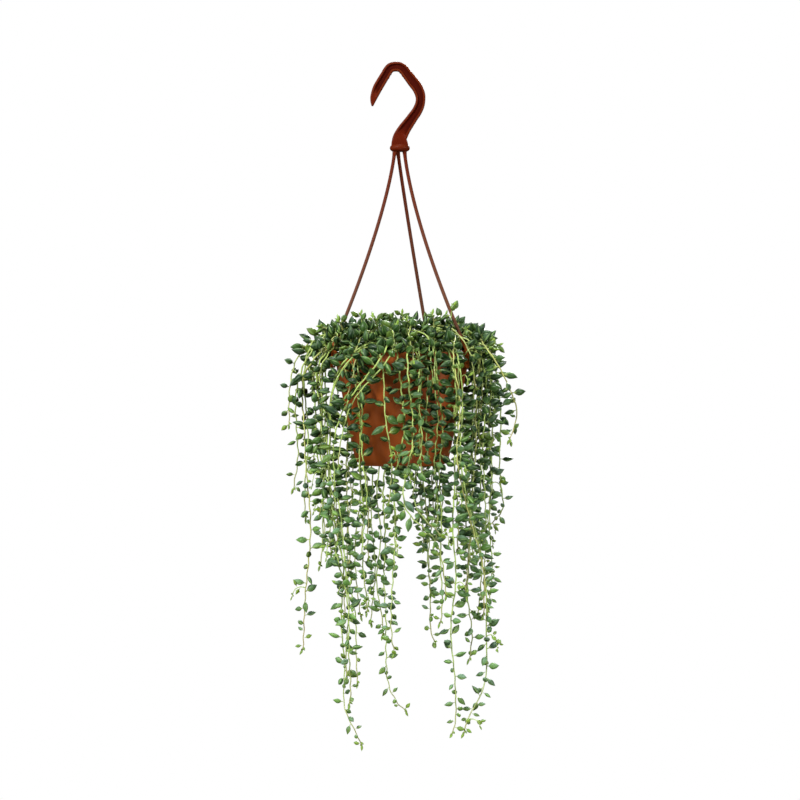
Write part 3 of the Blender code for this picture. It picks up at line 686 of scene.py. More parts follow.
def turned(name, profile, axis_x, steps, edge):
    """A round piece from a half section that starts and ends on its axis."""
    edges = [(k, k + 1) for k in range(len(profile) - 1)]
    obj = from_mesh(name, [(r, 0, z) for r, z in profile], [], edges)
    screw = obj.modifiers.new("turn", "SCREW")
    screw.steps = steps
    screw.render_steps = steps
    screw.use_merge_vertices = True
    screw.merge_threshold = 0.00001
    apply_modifiers(obj)
    work = bmesh.new()
    work.from_mesh(obj.data)
    bmesh.ops.remove_doubles(work, verts=work.verts, dist=0.01 * MM)
    bmesh.ops.recalc_face_normals(work, faces=work.faces)
    work.to_mesh(obj.data)
    work.free()
    obj.data.transform(Matrix.Translation(Vector((axis_x * MM, 0, 0))))
    return bevelled(obj, edge, 35)


def bands(first, rings, sides, downwards=False):
    """Faces between rings of corners, the first corner numbered `first`."""
    faces = []
    for low in range(first, first + (rings - 1) * sides, sides):
        for k in range(sides):
            after = (k + 1) % sides
            face = (low + k, low + after, low + sides + after, low + sides + k)
            faces.append((face[0], *reversed(face[1:])) if downwards else face)
    return faces


# %% [markdown]
# Every finished piece goes through the same last step. It gets its finishes, rides on the only
# body, `root`, and hides the solid that it stands for.

# %% Dressing a piece
def dress(obj, slot_name, replaced, *finishes):
    for finish in finishes:
        obj.data.materials.append(finish)
    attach(obj, "root")
    if replaced:
        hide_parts(*replaced)
    return obj


def smooth_shaded(obj, sharper_than):
    """Shades a piece smooth, but for edges that turn by more than an angle in degrees."""
    obj.data.shade_smooth()
    obj.data.set_sharp_from_angle(angle=math.radians(sharper_than))
    print(f"{obj.name}: {len(obj.data.polygons)} faces")


# %% [markdown]
# The pot has a skirted rim: the lip folds out and down, with a groove behind it. The floor is
# raised off the foot ring and has five drain holes, cut with plain cylinders.

# %% Pot
POT_STEPS = 120
CUTTER_H = 14.0
CUTTER_Z = FOOT_Z + 4
# Radius and height, up the inside, over the rim and its skirt, and down the outside
POT_SECTION = (
    (0.0, FOOT_Z + FLOOR_RISE + FLOOR_T),
    (FOOT_R - 3, FOOT_Z + FLOOR_RISE + FLOOR_T),
    (FOOT_R + 2.0, FOOT_Z + FLOOR_RISE + FLOOR_T + 1.5),
    (WALL_LOW_R - WALL_T - 1.4, WALL_LOW_Z - 4.0),
    (WALL_LOW_R - WALL_T, WALL_LOW_Z + 1.0),
    (WALL_TOP_R - WALL_T, RIM_Z - 9.0),
    (WALL_TOP_R - WALL_T, RIM_Z),
    (RIM_R, RIM_Z),
    (RIM_R - 1.0, RIM_Z - SKIRT_H),
    (RIM_R - 1.0 - SKIRT_T, RIM_Z - SKIRT_H),
    (RIM_R - 0.3 - SKIRT_T, RIM_Z - 2.2),
    (WALL_TOP_R + 0.3, RIM_Z - 2.2),
    (WALL_TOP_R - 0.3, RIM_Z - SKIRT_H),
    (WALL_LOW_R, WALL_LOW_Z),
    (50.8, WALL_LOW_Z - 4.0),
    (48.6, WALL_LOW_Z - 8.5),
    (FOOT_R, FOOT_Z),
    (FOOT_R - 3.0, FOOT_Z),
    (FOOT_R - 3.4, FOOT_Z + FLOOR_RISE),
    (0.0, FOOT_Z + FLOOR_RISE),
)


def drain_cutters(spots):
    """A collection of upright cylinders through the pot's floor."""
    cutters = bpy.data.collections.new("drain_cutters")
    bpy.context.scene.collection.children.link(cutters)
    for spot in spots:
        bpy.ops.mesh.primitive_cylinder_add(
            vertices=32, radius=DRAIN_R * MM, depth=CUTTER_H * MM,
            location=(spot.x * MM, spot.y * MM, CUTTER_Z * MM))
        cutter = bpy.context.active_object
        for holder in list(cutter.users_collection):
            holder.objects.unlink(cutter)
        cutters.objects.link(cutter)
    return cutters


def make_pot():
    pot = turned("pot_shell", POT_SECTION, POT_X, POT_STEPS, 0.5)
    ring = [polar(DRAIN_RING_R, 90 * k + 45, 0) for k in range(4)]
    cutters = drain_cutters([*ring, polar(0, 0, 0)])
    cut = pot.modifiers.new("drains", "BOOLEAN")
    cut.operand_type = "COLLECTION"
    cut.collection = cutters
    apply_modifiers(pot)
    for cutter in list(cutters.objects):
        bpy.data.objects.remove(cutter, do_unlink=True)
    bpy.data.collections.remove(cutters)
    smooth_shaded(pot, 40)
    return dress(pot, "terracotta_plastic", ["pot"], pot_plastic)


make_pot()

# %% [markdown]
# The soil's side is plain, because the pot hides it. Its top is a fine grid of rings pushed up
# and down at random.

# %% Soil
SOIL_RINGS = 34
SOIL_STEPS = 96
SOIL_ROUGH = (-0.7, 0.9)
SOIL_CROWN = 2.0
soil_draw = random.Random(5)


def soil_top(r):
    """The soil is a little higher in the middle."""
    return RIM_Z - SOIL_DROP + SOIL_CROWN * (1 - (r / 70.0) ** 2)


def make_soil():
    edge = WALL_TOP_R - WALL_T - GAP - 0.4
    floor = FOOT_Z + FLOOR_RISE + FLOOR_T + GAP
    # Rings of the top have no height of their own yet
    rows = [(edge * k / SOIL_RINGS, None) for k in range(1, SOIL_RINGS + 1)]
    rows += [(WALL_LOW_R - WALL_T - GAP - 0.1, WALL_LOW_Z + 1.0),
             (WALL_LOW_R - WALL_T - 1.4 - GAP, WALL_LOW_Z - 4.0), (FOOT_R - 3 - GAP, floor)]
    points = [Vector((POT_X, 0, soil_top(0)))]
    for r, z in rows:
        for k in range(SOIL_STEPS):
            angle = 2 * math.pi * k / SOIL_STEPS
            rough = 0.0 if z is not None or r > edge - 1 else soil_draw.uniform(*SOIL_ROUGH)
            height = soil_top(r) + rough if z is None else z
            points.append(Vector((POT_X + r * math.cos(angle), r * math.sin(angle), height)))
    faces = [(0, 1 + k, 1 + (k + 1) % SOIL_STEPS) for k in range(SOIL_STEPS)]
    faces += bands(1, len(rows), SOIL_STEPS, downwards=True)
    faces.append(tuple(reversed(range(len(points) - SOIL_STEPS, len(points)))))
    soil = from_mesh("soil_fill", points, faces)
    soil.data.shade_smooth()
    return dress(soil, "potting_soil", ["soil"], potting_soil)


soil = make_soil()
print(f"soil: {len(soil.data.polygons)} faces")

# %% [markdown]
# Crumbs of bark and grains of perlite lie on the soil. Each is a cube that is squeezed, turned
# and knocked about, and all of a kind are one piece.

# %% Crumbs on the soil
SCATTER_R = 66.0
# How many there are, their half length at the least and the most, and their finish
CRUMBS = {
    "bark_crumbs": (420, (0.8, 2.4), potting_soil),
    "perlite_grains": (90, (0.6, 1.5), perlite),
}


def crumb(spot, size, draw):
    """Corners of one rough crumb."""
    turn = Quaternion((draw.gauss(0, 1), draw.gauss(0, 1), draw.gauss(0, 1), draw.gauss(0, 1)))
    turn.normalize()
    shape = Vector((size, size * draw.uniform(0.5, 0.9), size * draw.uniform(0.3, 0.7)))
    corners = []
    for x in (-1, 1):
        for y in (-1, 1):
            for z in (-1, 1):
                knock = Vector((draw.uniform(0.6, 1.1), draw.uniform(0.6, 1.1), draw.uniform(0.6, 1.1)))
                corners.append(spot + turn @ (Vector((x, y, z)) * shape * knock))
    return corners


def scatter(name, count, sizes, finish, draw):
    points, faces = [], []
    for _ in range(count):
        r = SCATTER_R * math.sqrt(draw.random())
        spot = polar(r, draw.uniform(0, 360), soil_top(r) + 0.4)
        faces += [tuple(len(points) + k for k in side) for side in BOX_FACES]
        points += crumb(spot, draw.uniform(*sizes), draw)
    return dress(from_mesh(name, points, faces), "potting_soil", [], finish)


for name, given in CRUMBS.items():
    scatter(name, *given, soil_draw)
    print(f"{name}: {given[0]}")

# %% [markdown]
# The hook is a moulded flat bar with a sunken web between two raised ribs. Its middle line is a
# list of given points, with half its width at each. A cross section with rounded corners
# is carried along that line, and the web fades in and out near its ends. A few small grip notches
# mark the inner edge beside the crown.

# %% Hook
HOOK_T = 8.0
HOOK_EDGE = 1.0
WEB_T = 3.2
WEB_RIM = 2.1
WEB_FILLET = 0.7
HOOK_STEP = 1.2
# The web starts and ends this many points from the line's ends, and fades over so many
WEB_START = 8
WEB_END = 14
WEB_FADE = 8
# Grip notches: how far their teeth stand out, the angle of their wave from one point to the next,
# and where they lie
GRIP = 0.4
GRIP_TURN = 1.57
GRIP_X = (2.5, 12)
GRIP_Z = (-9, 2.5)
# Middle line from the tip to the base: x, z, half width
HOOK_LINE = (
    (-24.9, -37.2, 0.9),
    (-24.4, -32.2, 2.8),
    (-22.8, -26.4, 4.1),
    (-19.5, -18.5, 5.0),
    (-15.8, -12.0, 5.1),
    (-11.9, -5.6, 5.0),
    (-8.2, 0.6, 5.0),
    (-4.9, 4.0, 4.95),
    (-0.2, 5.0, 4.9),
    (5.0, 4.4, 5.0),
    (9.2, 1.3, 5.2),
    (13.1, -4.0, 5.3),
    (18.9, -11.4, 5.7),
    (23.8, -18.2, 5.6),
    (26.6, -25.0, 5.4),
    (27.1, -31.0, 5.2),
    (26.0, -37.0, 5.3),
    (23.1, -43.3, 5.4),
    (19.0, -49.2, 5.6),
    (14.6, -55.5, 6.0),
    (10.1, -61.8, 6.6),
    (6.7, -67.6, 7.2),
    (4.6, -72.6, 7.7),
    (4.4, -77.0, 8.7),
    (4.6, -80.2, 9.1),
    (4.6, -84.6, 8.8),
)


def hook_section(half, sunk):
    """One cross section as (across, depth), going round once, the web sunk by `sunk`."""
    edge = min(HOOK_EDGE, half * 0.45)
    top = HOOK_T / 2
    rib = max(half - WEB_RIM, half * 0.3)
    inner = max(rib - WEB_FILLET, half * 0.15)
    quarter = [
        (half, top - edge), (half - edge * 0.3, top - edge * 0.3), (half - edge, top),
        (rib, top), (rib - 0.15, top - sunk * 0.5), (inner, top - sunk),
    ]
    front = quarter + [(-x, y) for x, y in reversed(quarter)]
    return front + [(-x, -y) for x, y in front]


def make_hook():
    line = smooth_line([Vector(p) for p in HOOK_LINE], HOOK_STEP)
    total = len(line)
    points = []
    for k, (x, z, half) in enumerate(line):
        before, after = line[max(k - 1, 0)], line[min(k + 1, total - 1)]
        way = Vector((after.x - before.x, after.y - before.y)).normalized()
        shown = min(clipped((k - WEB_START) / WEB_FADE), clipped((total - WEB_END - k) / WEB_FADE))
        sunk = (HOOK_T - WEB_T) / 2 * shown
        notched = GRIP_Z[0] < z < GRIP_Z[1] and GRIP_X[0] < abs(x) < GRIP_X[1]
        grip = GRIP * max(0.0, math.sin(k * GRIP_TURN)) if notched else 0.0
        for across, depth in hook_section(half, sunk):
            across -= grip * (across < -half * 0.8)
            points.append((x - way.y * across, depth, z + way.x * across))
    sides = len(points) // total
    ends = [tuple(range(sides)), tuple(reversed(range(len(points) - sides, len(points))))]
    return from_mesh("hook", points, ends + bands(0, total, sides, downwards=True))


# %% [markdown]
# Under the hook sits a round base. Three thin rods leave it and bow out to the rim. A rod is a
# round tube, slightly thicker where it leaves the base and where it meets its clip.

# %% Rods and base
BASE_X = 4.7
BASE_R = 10.9
BASE_Z = -79.5
BASE_H = 6.9
BASE_STEPS = 64
# Radius and height of the base, from the middle of its top to the middle of its underside
BASE_SECTION = (
    (0.0, BASE_Z + 0.01), (BASE_R - 2.4, BASE_Z), (BASE_R - 0.7, BASE_Z - 1.4),
    (BASE_R, BASE_Z - 3.4), (BASE_R - 0.4, BASE_Z - BASE_H + 1.6),
    (BASE_R - 2.2, BASE_Z - BASE_H), (0.0, BASE_Z - BASE_H),
)
ARM_R = 1.9
ARM_START_R = 5.4
ARM_STEPS = 60
ARM_SIDES = 14
# Each rod's azimuth on the base, its azimuth at the rim, and how strongly it bows
ARMS = {"right": (-26.0, -26.0, 1.4), "back": (118.0, 66.0, 1.08), "left": (190.0, 190.0, 1.36)}
CLIP_W = 6.0
CLIP_T = 3.2


def arm_points(arm, count):
    """Middle line of one of the hanger's rods, from inside its base to its clip."""
    start, azimuth, bow = arm
    angle = math.radians(start)
    top = BASE_Z - BASE_H / 2
    first = Vector((BASE_X + ARM_START_R * math.cos(angle), ARM_START_R * math.sin(angle), top))
    last = polar(RIM_R + 0.6 + CLIP_T / 2, azimuth, RIM_Z + 1.5)
    out = []
    for k in range(count + 1):
        t = k / count
        place = first.lerp(last, t ** bow)
        out.append(Vector((place.x, place.y, top + (last.z - top) * t)))
    return out


def ring_tube(points, radii, sides):
    """Corners and faces of a closed round tube along points."""
    corners = []
    for point, radius, (along, side) in zip(points, radii, frames(points)):
        other = along.cross(side)
        for k in range(sides):
            angle = 2 * math.pi * k / sides
            corners.append(point + (side * math.cos(angle) + other * math.sin(angle)) * radius)
    ends = [tuple(reversed(range(sides))), tuple(range(len(corners) - sides, len(corners)))]
    return corners, ends + bands(0, len(points), sides)


def make_rod(arm):
    thicker_from = ARM_STEPS - 6
    radii = [ARM_R + 1.1 * max(0.0, 1 - k / 3.5) ** 2 + 0.35 * max(0.0, (k - thicker_from) / 6)
             for k in range(ARM_STEPS + 1)]
    return from_mesh("rod", *ring_tube(arm_points(arm, ARM_STEPS), radii, ARM_SIDES))


# %% [markdown]
# Each rod ends in a small clip that grips the pot's skirt: a leg outside, a finger on top and
# a lip beneath. They are bars with rounded edges, square to the rim. Then the hook, the base, the
# rods and the clips become one mesh, as they come out of one mould.

# %% Clips and the whole hanger
def clip_bar(azimuth, r_low, r_high, z_low, z_high, width):
    angle = math.radians(azimuth)
    out = Vector((math.cos(angle), math.sin(angle), 0))
    side = Vector((-math.sin(angle), math.cos(angle), 0))
    points = [
        polar(0, 0, 0) + out * r + side * s + Vector((0, 0, z))
        for z in (z_low, z_high) for r in (r_low, r_high) for s in (-width / 2, width / 2)
    ]
    return bevelled(from_mesh("clip", points, BOX_FACES), 0.6, 40)


def make_clip(azimuth):
    """The leg, the finger and the lip of one clip."""
    outer = RIM_R + GAP
    under = RIM_Z - SKIRT_H - GAP
    narrow = CLIP_W - 1.4
    return [
        clip_bar(azimuth, outer, outer + CLIP_T, under - 2.6, RIM_Z + 3.2, CLIP_W),
        clip_bar(azimuth, RIM_R - 3.6, outer + 1.6, RIM_Z + GAP, RIM_Z + 2.7, narrow),
        clip_bar(azimuth, RIM_R - 2.2, outer + 1.6, under - 2.0, under, narrow),
    ]


def make_hanger():
    parts = [make_hook(), turned("base", BASE_SECTION, BASE_X, BASE_STEPS, 0.9)]
    for arm in ARMS.values():
        parts += [make_rod(arm), *make_clip(arm[1])]
    hanger = from_mesh("hook_and_rods", [], [])
    work = bmesh.new()
    for part in parts:
        work.from_mesh(part.data)
        bpy.data.objects.remove(part, do_unlink=True)
    bmesh.ops.recalc_face_normals(work, faces=work.faces)
    work.to_mesh(hanger.data)
    work.free()
    smooth_shaded(hanger, 38)
    return dress(hanger, "hanger_plastic", ["hanger"], hanger_plastic)


make_hanger()

# %% [markdown]
# The stems follow the same routes as the solid ones. The ones that the photograph shows were
# placed one by one.

# %% Stems placed by the photograph
# Radius that the stem hangs at, side (-1 front, 1 back), then x and z as seen from the front
PLACED_STEMS = (
    (110, -1, ((-49, -276), (-64, -289), (-80, -303), (-95, -322), (-102, -347), (-98, -400),
               (-93, -465), (-94, -538), (-99, -591), (-101, -625))),
    (121, 1, ((-88, -290), (-107, -308), (-113, -333), (-114, -382))),
    (96, -1, ((-28, -292), (-54, -312), (-67, -338), (-73, -372), (-74, -407), (-71, -443),
              (-67, -480), (-62, -511), (-56, -538), (-58, -614), (-56, -649), (-54, -688),
              (-46, -705), (-38, -728))),
    (102, -1, ((-60, -282), (-80, -310), (-85, -338), (-81, -390), (-76, -450), (-67, -505),
               (-54, -560), (-49, -635), (-49, -664), (-50, -684))),
    (98, 1, ((-70, -290), (-86, -318), (-88, -345), (-85, -400), (-72, -470), (-55, -530),
             (-44, -590), (-41, -636), (-41, -661))),
    (91, -1, ((-23, -283), (-15, -314), (-12, -353), (-8, -391), (-4, -424), (-5, -466))),
    (103, -1, ((-4, -284), (-13, -307), (-23, -322), (-41, -341), (-60, -369), (-66, -400),
               (-65, -440), (-70, -490), (-68, -520))),
    (86, -1, ((-45, -290), (-41, -315), (-38, -343), (-37, -367), (-34, -422), (-32, -461),
              (-34, -488), (-34, -538), (-32, -584))),
    (86, 1, ((-14, -294), (-12, -320), (-12, -430), (-12, -480), (-12, -538), (-10, -614),
             (-9, -641), (-10, -660), (-5, -675), (4, -687), (11, -691))),
    (89, -1, ((-4, -288), (5, -321), (8, -340), (8, -379), (5, -419), (-1, -438), (-2, -480),
              (-1, -538), (-6, -600), (-1, -629))),
    (92, 1, ((-30, -292), (-27, -320), (-26, -443), (-25, -480), (-23, -538), (-25, -596))),
    (90, -1, ((22, -290), (27, -321), (28, -342), (26, -366), (25, -400), (27, -424), (32, -446),
              (34, -484))),
    (101, -1, ((12, -300), (15, -330), (18, -370), (17, -407), (12, -438), (9, -474), (20, -487),
               (33, -497), (48, -515), (54, -538), (55, -566))),
    (92, -1, ((37, -282), (44, -309), (47, -340), (49, -366), (50, -400), (48, -440), (49, -497),
              (50, -560), (48, -596))),
    (88, 1, ((38, -292), (36, -320), (35, -430), (36, -528), (36, -555), (37, -582), (38, -607),
             (44, -617))),
    (98, -1, ((50, -281), (58, -300), (64, -330), (65, -380), (64, -417), (63, -452), (63, -488),
              (64, -555), (62, -582), (61, -618), (61, -640), (64, -670), (68, -703), (62, -716))),
    (91, -1, ((80, -292), (89, -318), (90, -347), (87, -383), (86, -414), (83, -438), (84, -457),
              (80, -470), (82, -492), (80, -530), (77, -572), (80, -591), (84, -614), (81, -636))),
    (106, -1, ((56, -284), (68, -310), (72, -345), (71, -400), (72, -440), (76, -464), (83, -482),
               (91, -506), (93, -530), (97, -568), (100, -609), (99, -640), (94, -666), (88, -681),
               (79, -697), (75, -715))),
    (100, -1, ((80, -283), (93, -306), (97, -338), (96, -398), (95, -452), (98, -500), (95, -566))),
    (113, 1, ((92, -288), (107, -312), (112, -340), (113, -400), (114, -457), (117, -470),
              (112, -481), (103, -490))),
    (104, 1, ((82, -288), (97, -314), (102, -344), (103, -400), (103, -504), (103, -538),
              (103, -559), (101, -585))),
    (127, -1, ((84, -282), (103, -305), (116, -328), (125, -346), (132, -368), (123, -397))),
    (113, -1, ((-80, -288), (-97, -306), (-104, -333), (-107, -380), (-106, -420), (-110, -452))),
)
# How low the curtain of stems reaches, as x and z from left to right
LOWEST = (
    (-110, -470), (-95, -560), (-85, -545), (-70, -540), (-55, -640), (-35, -625), (-15, -600),
    (2, -560), (10, -485), (24, -490), (36, -570), (50, -600), (75, -600), (95, -590), (115, -500),
)
print(f"{len(PLACED_STEMS)} stems placed by hand")

# %% [markdown]
# The photograph gives a stem's place across and its height, but not its depth. That comes from
# the radius at which it hangs round the pot. A point nearer to the camera looks larger, so it is
# also drawn in towards the middle of the view. Stems at the back and the sides follow a rule
# instead, and end where the photograph's curtain ends at that place across.

# %% Wanted routes
RULED_STEMS = 12
# Azimuth where the ruled stems start, and how far round they go
RULED_FROM = -14
RULED_SPAN = 208
# Radii that they hang at in turn, the height from point to point, and the least for the last one
RULED_R = (84.0, 97.0, 90.0, 106.0)
RULED_STEP = 62
LAST_STEP = 8
# Above the rim a stem comes in to this radius, over this height
OVER_RIM_R = 56.0
OVER_RIM_H = 34.0


def placed_line(hang_r, side, seen):
    """Points in space of a stem given by its place in the front view."""
    out = []
    for x, z in seen:
        over = clipped((z - (RIM_Z - 8)) / OVER_RIM_H)
        r = hang_r - (hang_r - OVER_RIM_R) * over * over * (3 - 2 * over)
        y = side * math.sqrt(max(r * r - (x - POT_X) ** 2, 9.0))
        scale = (VIEW_DISTANCE + y) / VIEW_DISTANCE
        out.append(Vector((VIEW_X + (x - VIEW_X) * scale, y, VIEW_Z + (z - VIEW_Z) * scale)))
    return out


def ruled_line(index, draw):
    """Points in space of a stem at the back or side, evenly spread with a seeded draw."""
    azimuth = RULED_FROM + RULED_SPAN * (index + 0.5) / RULED_STEMS + draw.uniform(-3, 3)
    hang_r = RULED_R[index % 4] + draw.uniform(-2, 2)
    x = POT_X + hang_r * math.cos(math.radians(azimuth))
    lowest = float(np.interp(x, [p[0] for p in LOWEST], [p[1] for p in LOWEST]))
    end = RIM_Z + (lowest - RIM_Z) * draw.uniform(0.72, 1.0)
    out = [
        polar(hang_r * 0.66, azimuth, RIM_Z + 20 + (index % 3) * 5),
        polar(hang_r * 0.92, azimuth, RIM_Z + 6),
        polar(hang_r, azimuth, RIM_Z - 22),
    ]
    z = RIM_Z - 22
    while z - RULED_STEP - LAST_STEP > end:
        z -= RULED_STEP
        out.append(polar(hang_r + draw.uniform(-3, 3), azimuth + draw.uniform(-2.4, 2.4), z))
    out.append(polar(hang_r + draw.uniform(-3, 3), azimuth + draw.uniform(-3, 3), end))
    return out


# %% [markdown]
# Stems that lie on the same route cross each other, the rim or a rod. So all of them are pushed
# apart, again and again by a small step, while each point is kept off the pot and the soil.

# %% Pushing stems apart
STEM_APART = 5.2
PUSHES = 40
LONGEST_PUSH = 2.0
# A middle line stays this far off the pot's wall, and this far above the rim and the soil. It is
# over the soil within this radius.
OFF_WALL = 3.6
ABOVE = 5.0
SOIL_REACH = 64


def outside_r(z):
    """Radius of whatever the pot shows outside at a height, 0 past its ends."""
    down = RIM_Z - z
    if down < 0 or down > POT_H:
        return 0.0
    if down <= SKIRT_H:
        return RIM_R
    if down <= WALL_LOW_H:
        share = (down - SKIRT_H) / (WALL_LOW_H - SKIRT_H)
        return WALL_TOP_R + (WALL_LOW_R - WALL_TOP_R) * share
    return WALL_LOW_R - (WALL_LOW_R - FOOT_R) * ((down - WALL_LOW_H) / (POT_H - WALL_LOW_H)) ** 2


def clear_of_rim(point):
    """Moves a point of a stem's middle line off the pot and the soil."""
    out = off_axis(point).xy
    r = out.length
    need = outside_r(point.z) + OFF_WALL
    if point.z < RIM_Z + 1.0 and SOIL_REACH < r < need and need > 10:
        spot = out.normalized() * need
        return Vector((POT_X + spot.x, spot.y, point.z))
    if 60 < r < RIM_R + 3.5 and RIM_Z - 8 < point.z < RIM_Z + ABOVE:
        return Vector((point.x, point.y, RIM_Z + ABOVE))
    if r <= SOIL_REACH:
        return Vector((point.x, point.y, max(point.z, RIM_Z - SOIL_DROP + ABOVE)))
    return point


def push_apart(lines, fixed):
    """Bends crossing stems clear of each other and of the fixed points."""
    lines = [list(line) for line in lines]
    for _ in range(PUSHES):
        held = [(p, k) for k, line in enumerate(lines) for p in line]
        held += [(p, -1) for p in fixed]
        tree = KDTree(len(held))
        for index, (p, _) in enumerate(held):
            tree.insert(p, index)
        tree.balance()
        for k, line in enumerate(lines):
            moves = [Vector() for _ in line]
            for n in range(3, len(line)):
                for spot, index, apart in tree.find_range(line[n], STEM_APART):
                    owner = held[index][1]
                    if owner != k:
                        part = 1.0 if owner < 0 else 0.5
                        away = (line[n] - spot) / max(apart, 0.01)
                        moves[n] += away * (STEM_APART - apart) * part
            for n in range(3, len(line)):
                shift = sum(moves[max(n - 2, 0): n + 3], Vector()) / 3.0
                shift.length = min(shift.length, LONGEST_PUSH)
                line[n] = clear_of_rim(line[n] + shift)
            for n in range(4, len(line) - 1):
                even = (line[n - 1] + line[n + 1]) / 2
                line[n] = clear_of_rim(line[n].lerp(even, 0.12))
    return lines


# %% [markdown]
# The stems root in the soil at spots that spread evenly from the middle, like the seeds of
# a sunflower. The innermost spots are for the crowns, which are clumps of three short shoots.
# Each trailing stem takes the free spot that lies nearest to its way out.

# %% Roots and crowns
SEED = 11
CROWNS = 8
CROWN_UPS = (48.0, 41.0, 34.0)
ROOTS_R = 61.0
SUNFLOWER = 137.508
# A trailing stem looks for a foot near this radius
STEM_FOOT_R = 44


def root_spots(count):
    """Places for the stems in the soil, evenly spread from the middle outwards."""
    return [polar(ROOTS_R * math.sqrt((k + 0.6) / count), k * SUNFLOWER, 0) for k in range(count)]


def on_soil(spot):
    return Vector((spot.x, spot.y, soil_top(off_axis(spot).length)))


def rooted(foot, line):
    """A line with its root added, from the bottom of the hole in the soil."""
    return [foot - Vector((0, 0, HOLE_DEPTH - 1.0)), foot + Vector((0, 0, 1)), *line]


def trailing_lines(wanted, spots):
    """Each wanted route, led from a foot in the soil."""
    feet = {}
    for k in sorted(range(len(wanted)), key=lambda k: wanted[k][0].z):
        out = off_axis(wanted[k][0]).normalized()
        liked = polar(0, 0, 0) + out * STEM_FOOT_R
        best = min(spots, key=lambda spot: (spot.xy - liked.xy).length)
        spots.remove(best)
        feet[k] = on_soil(best)
    lines = []
    for k, given in enumerate(wanted):
        foot, first = feet[k], given[0]
        rise = foot + (first - foot) * 0.12
        rise.z = foot.z + 9 + 0.35 * max(first.z - foot.z, 0)
        lines.append(rooted(foot, smooth_line([foot + Vector((0, 0, 3)), rise, *given], 5.0)))
    return lines


def crown_shoots(spots, draw):
    """Three shoots for each crown, as (crown, branch, line). Only the first one has a root."""
    shoots = []
    for k, spot in enumerate(spots):
        foot = on_soil(spot)
        lean = off_axis(foot) * 0.5
        for branch, height in enumerate(CROWN_UPS):
            a = math.radians(120 * branch + 70 * k + draw.uniform(-20, 20))
            reach = Vector((math.cos(a), math.sin(a), 0)) * draw.uniform(16, 24)
            up = height + draw.uniform(-5, 5)
            start = foot + Vector((0, 0, 3 + 5 * branch))
            mid = foot + lean * 0.4 + reach * 0.45 + Vector((0, 0, up * 0.7))
            end = foot + lean + reach + Vector((0, 0, up))
            line = smooth_line([start, mid, end], 5.0)
            shoots.append((k, branch, rooted(foot, line) if branch == 0 else line))
    return shoots


# %% [markdown]
# Now the routes are drawn in the same order as for the solids, from the same seed, and pushed
# apart together. The rods and the clips hold still.

# %% Routes of the main stems
rods = [p for arm in ARMS.values() for p in arm_points(arm, ARM_STEPS)]
for _, azimuth, _ in ARMS.values():
    rods += [polar(RIM_R + 2, azimuth, RIM_Z - drop) for drop in (0, 4, 8, 12, 16)]
route_draw = random.Random(SEED)
wanted = [placed_line(*given) for given in PLACED_STEMS]
wanted += [ruled_line(k, route_draw) for k in range(RULED_STEMS)]
spots = root_spots(len(wanted) + CROWNS)
lines = trailing_lines(wanted, spots[CROWNS:])
shoots = crown_shoots(spots[:CROWNS], route_draw)
clear = push_apart(lines + [line for _, _, line in shoots], rods)
lines = clear[:len(lines)]
shoots = [(k, branch, line) for (k, branch, _), line in zip(shoots, clear[len(lines):])]
print(f"{len(lines)} trailing stems and {len(shoots)} shoots of {CROWNS} crowns")

# %% [markdown]
# The solids hold the main stems. Real ones hang in bundles, so finer stems are added beside them:
# each follows a neighbour at a small distance and ends at its own height. `BESIDE` says how many
# hang to the left and to the right of each placed stem, read from the photograph, and
# `BESIDE_RULED` says it of the others.

# %% Stems between
BESIDE = (
    (0, 0), (0, 0), (0, 2), (0, 1), (0, 0), (0, 0), (0, 1), (1, 0), (1, 0), (0, 0), (1, 0), (0, 1),
    (0, 1), (1, 0), (2, 2), (0, 1), (2, 0), (1, 0), (0, 0), (0, 0), (0, 0), (0, 0), (0, 0),
)
BESIDE_RULED = ((0, 0),) * 2 + ((0, 1), (1, 0)) * 4 + ((0, 0),) * 2
# Such a stem keeps this share of its neighbour's length below the rim, at the least and the most
KEPT_LENGTH = (0.6, 0.88)


def companion_line(guide, way, draw):
    """A stem to the left (-1) or right (1) of another, a little out from it and often shorter."""
    way = way if guide[-1].y < 0 else -way
    swing = math.radians(way * draw.uniform(2.8, 5.6))
    wider = draw.uniform(-2.0, 5.0)
    keep = draw.uniform(*KEPT_LENGTH)
    rim_at = next((k for k, p in enumerate(guide) if p.z < RIM_Z), len(guide) - 1)
    last = rim_at + max(4, int((len(guide) - rim_at) * keep))
    out = []
    for k, p in enumerate(guide[:last]):
        share = min(k / 8, 1.0)
        away = off_axis(p)
        angle = swing * share
        beside = Vector((away.x * math.cos(angle) - away.y * math.sin(angle),
                         away.x * math.sin(angle) + away.y * math.cos(angle), 0))
        r = beside.length
        beside.length = r + wider * share if r > 1 else r
        wave = 1.6 * math.sin(k * 0.33 + swing * 40) * share
        out.append(Vector((POT_X + beside.x + wave, beside.y, p.z + 2.0 * share)))
    return out


extra_draw = random.Random(23)
companions = []
for line, (left, right) in zip(lines, BESIDE + BESIDE_RULED):
    companions += [companion_line(line, way, extra_draw) for way in [-1] * left + [1] * right]
print(f"{len(companions)} stems between them")

# %% [markdown]
# Two more habits shape the mound. Short shoots stand up in it, and at its edge the photograph
# shows their single leaves against the white. And pale runners creep over the top, with few
# leaves, and drop a little way over the rim.

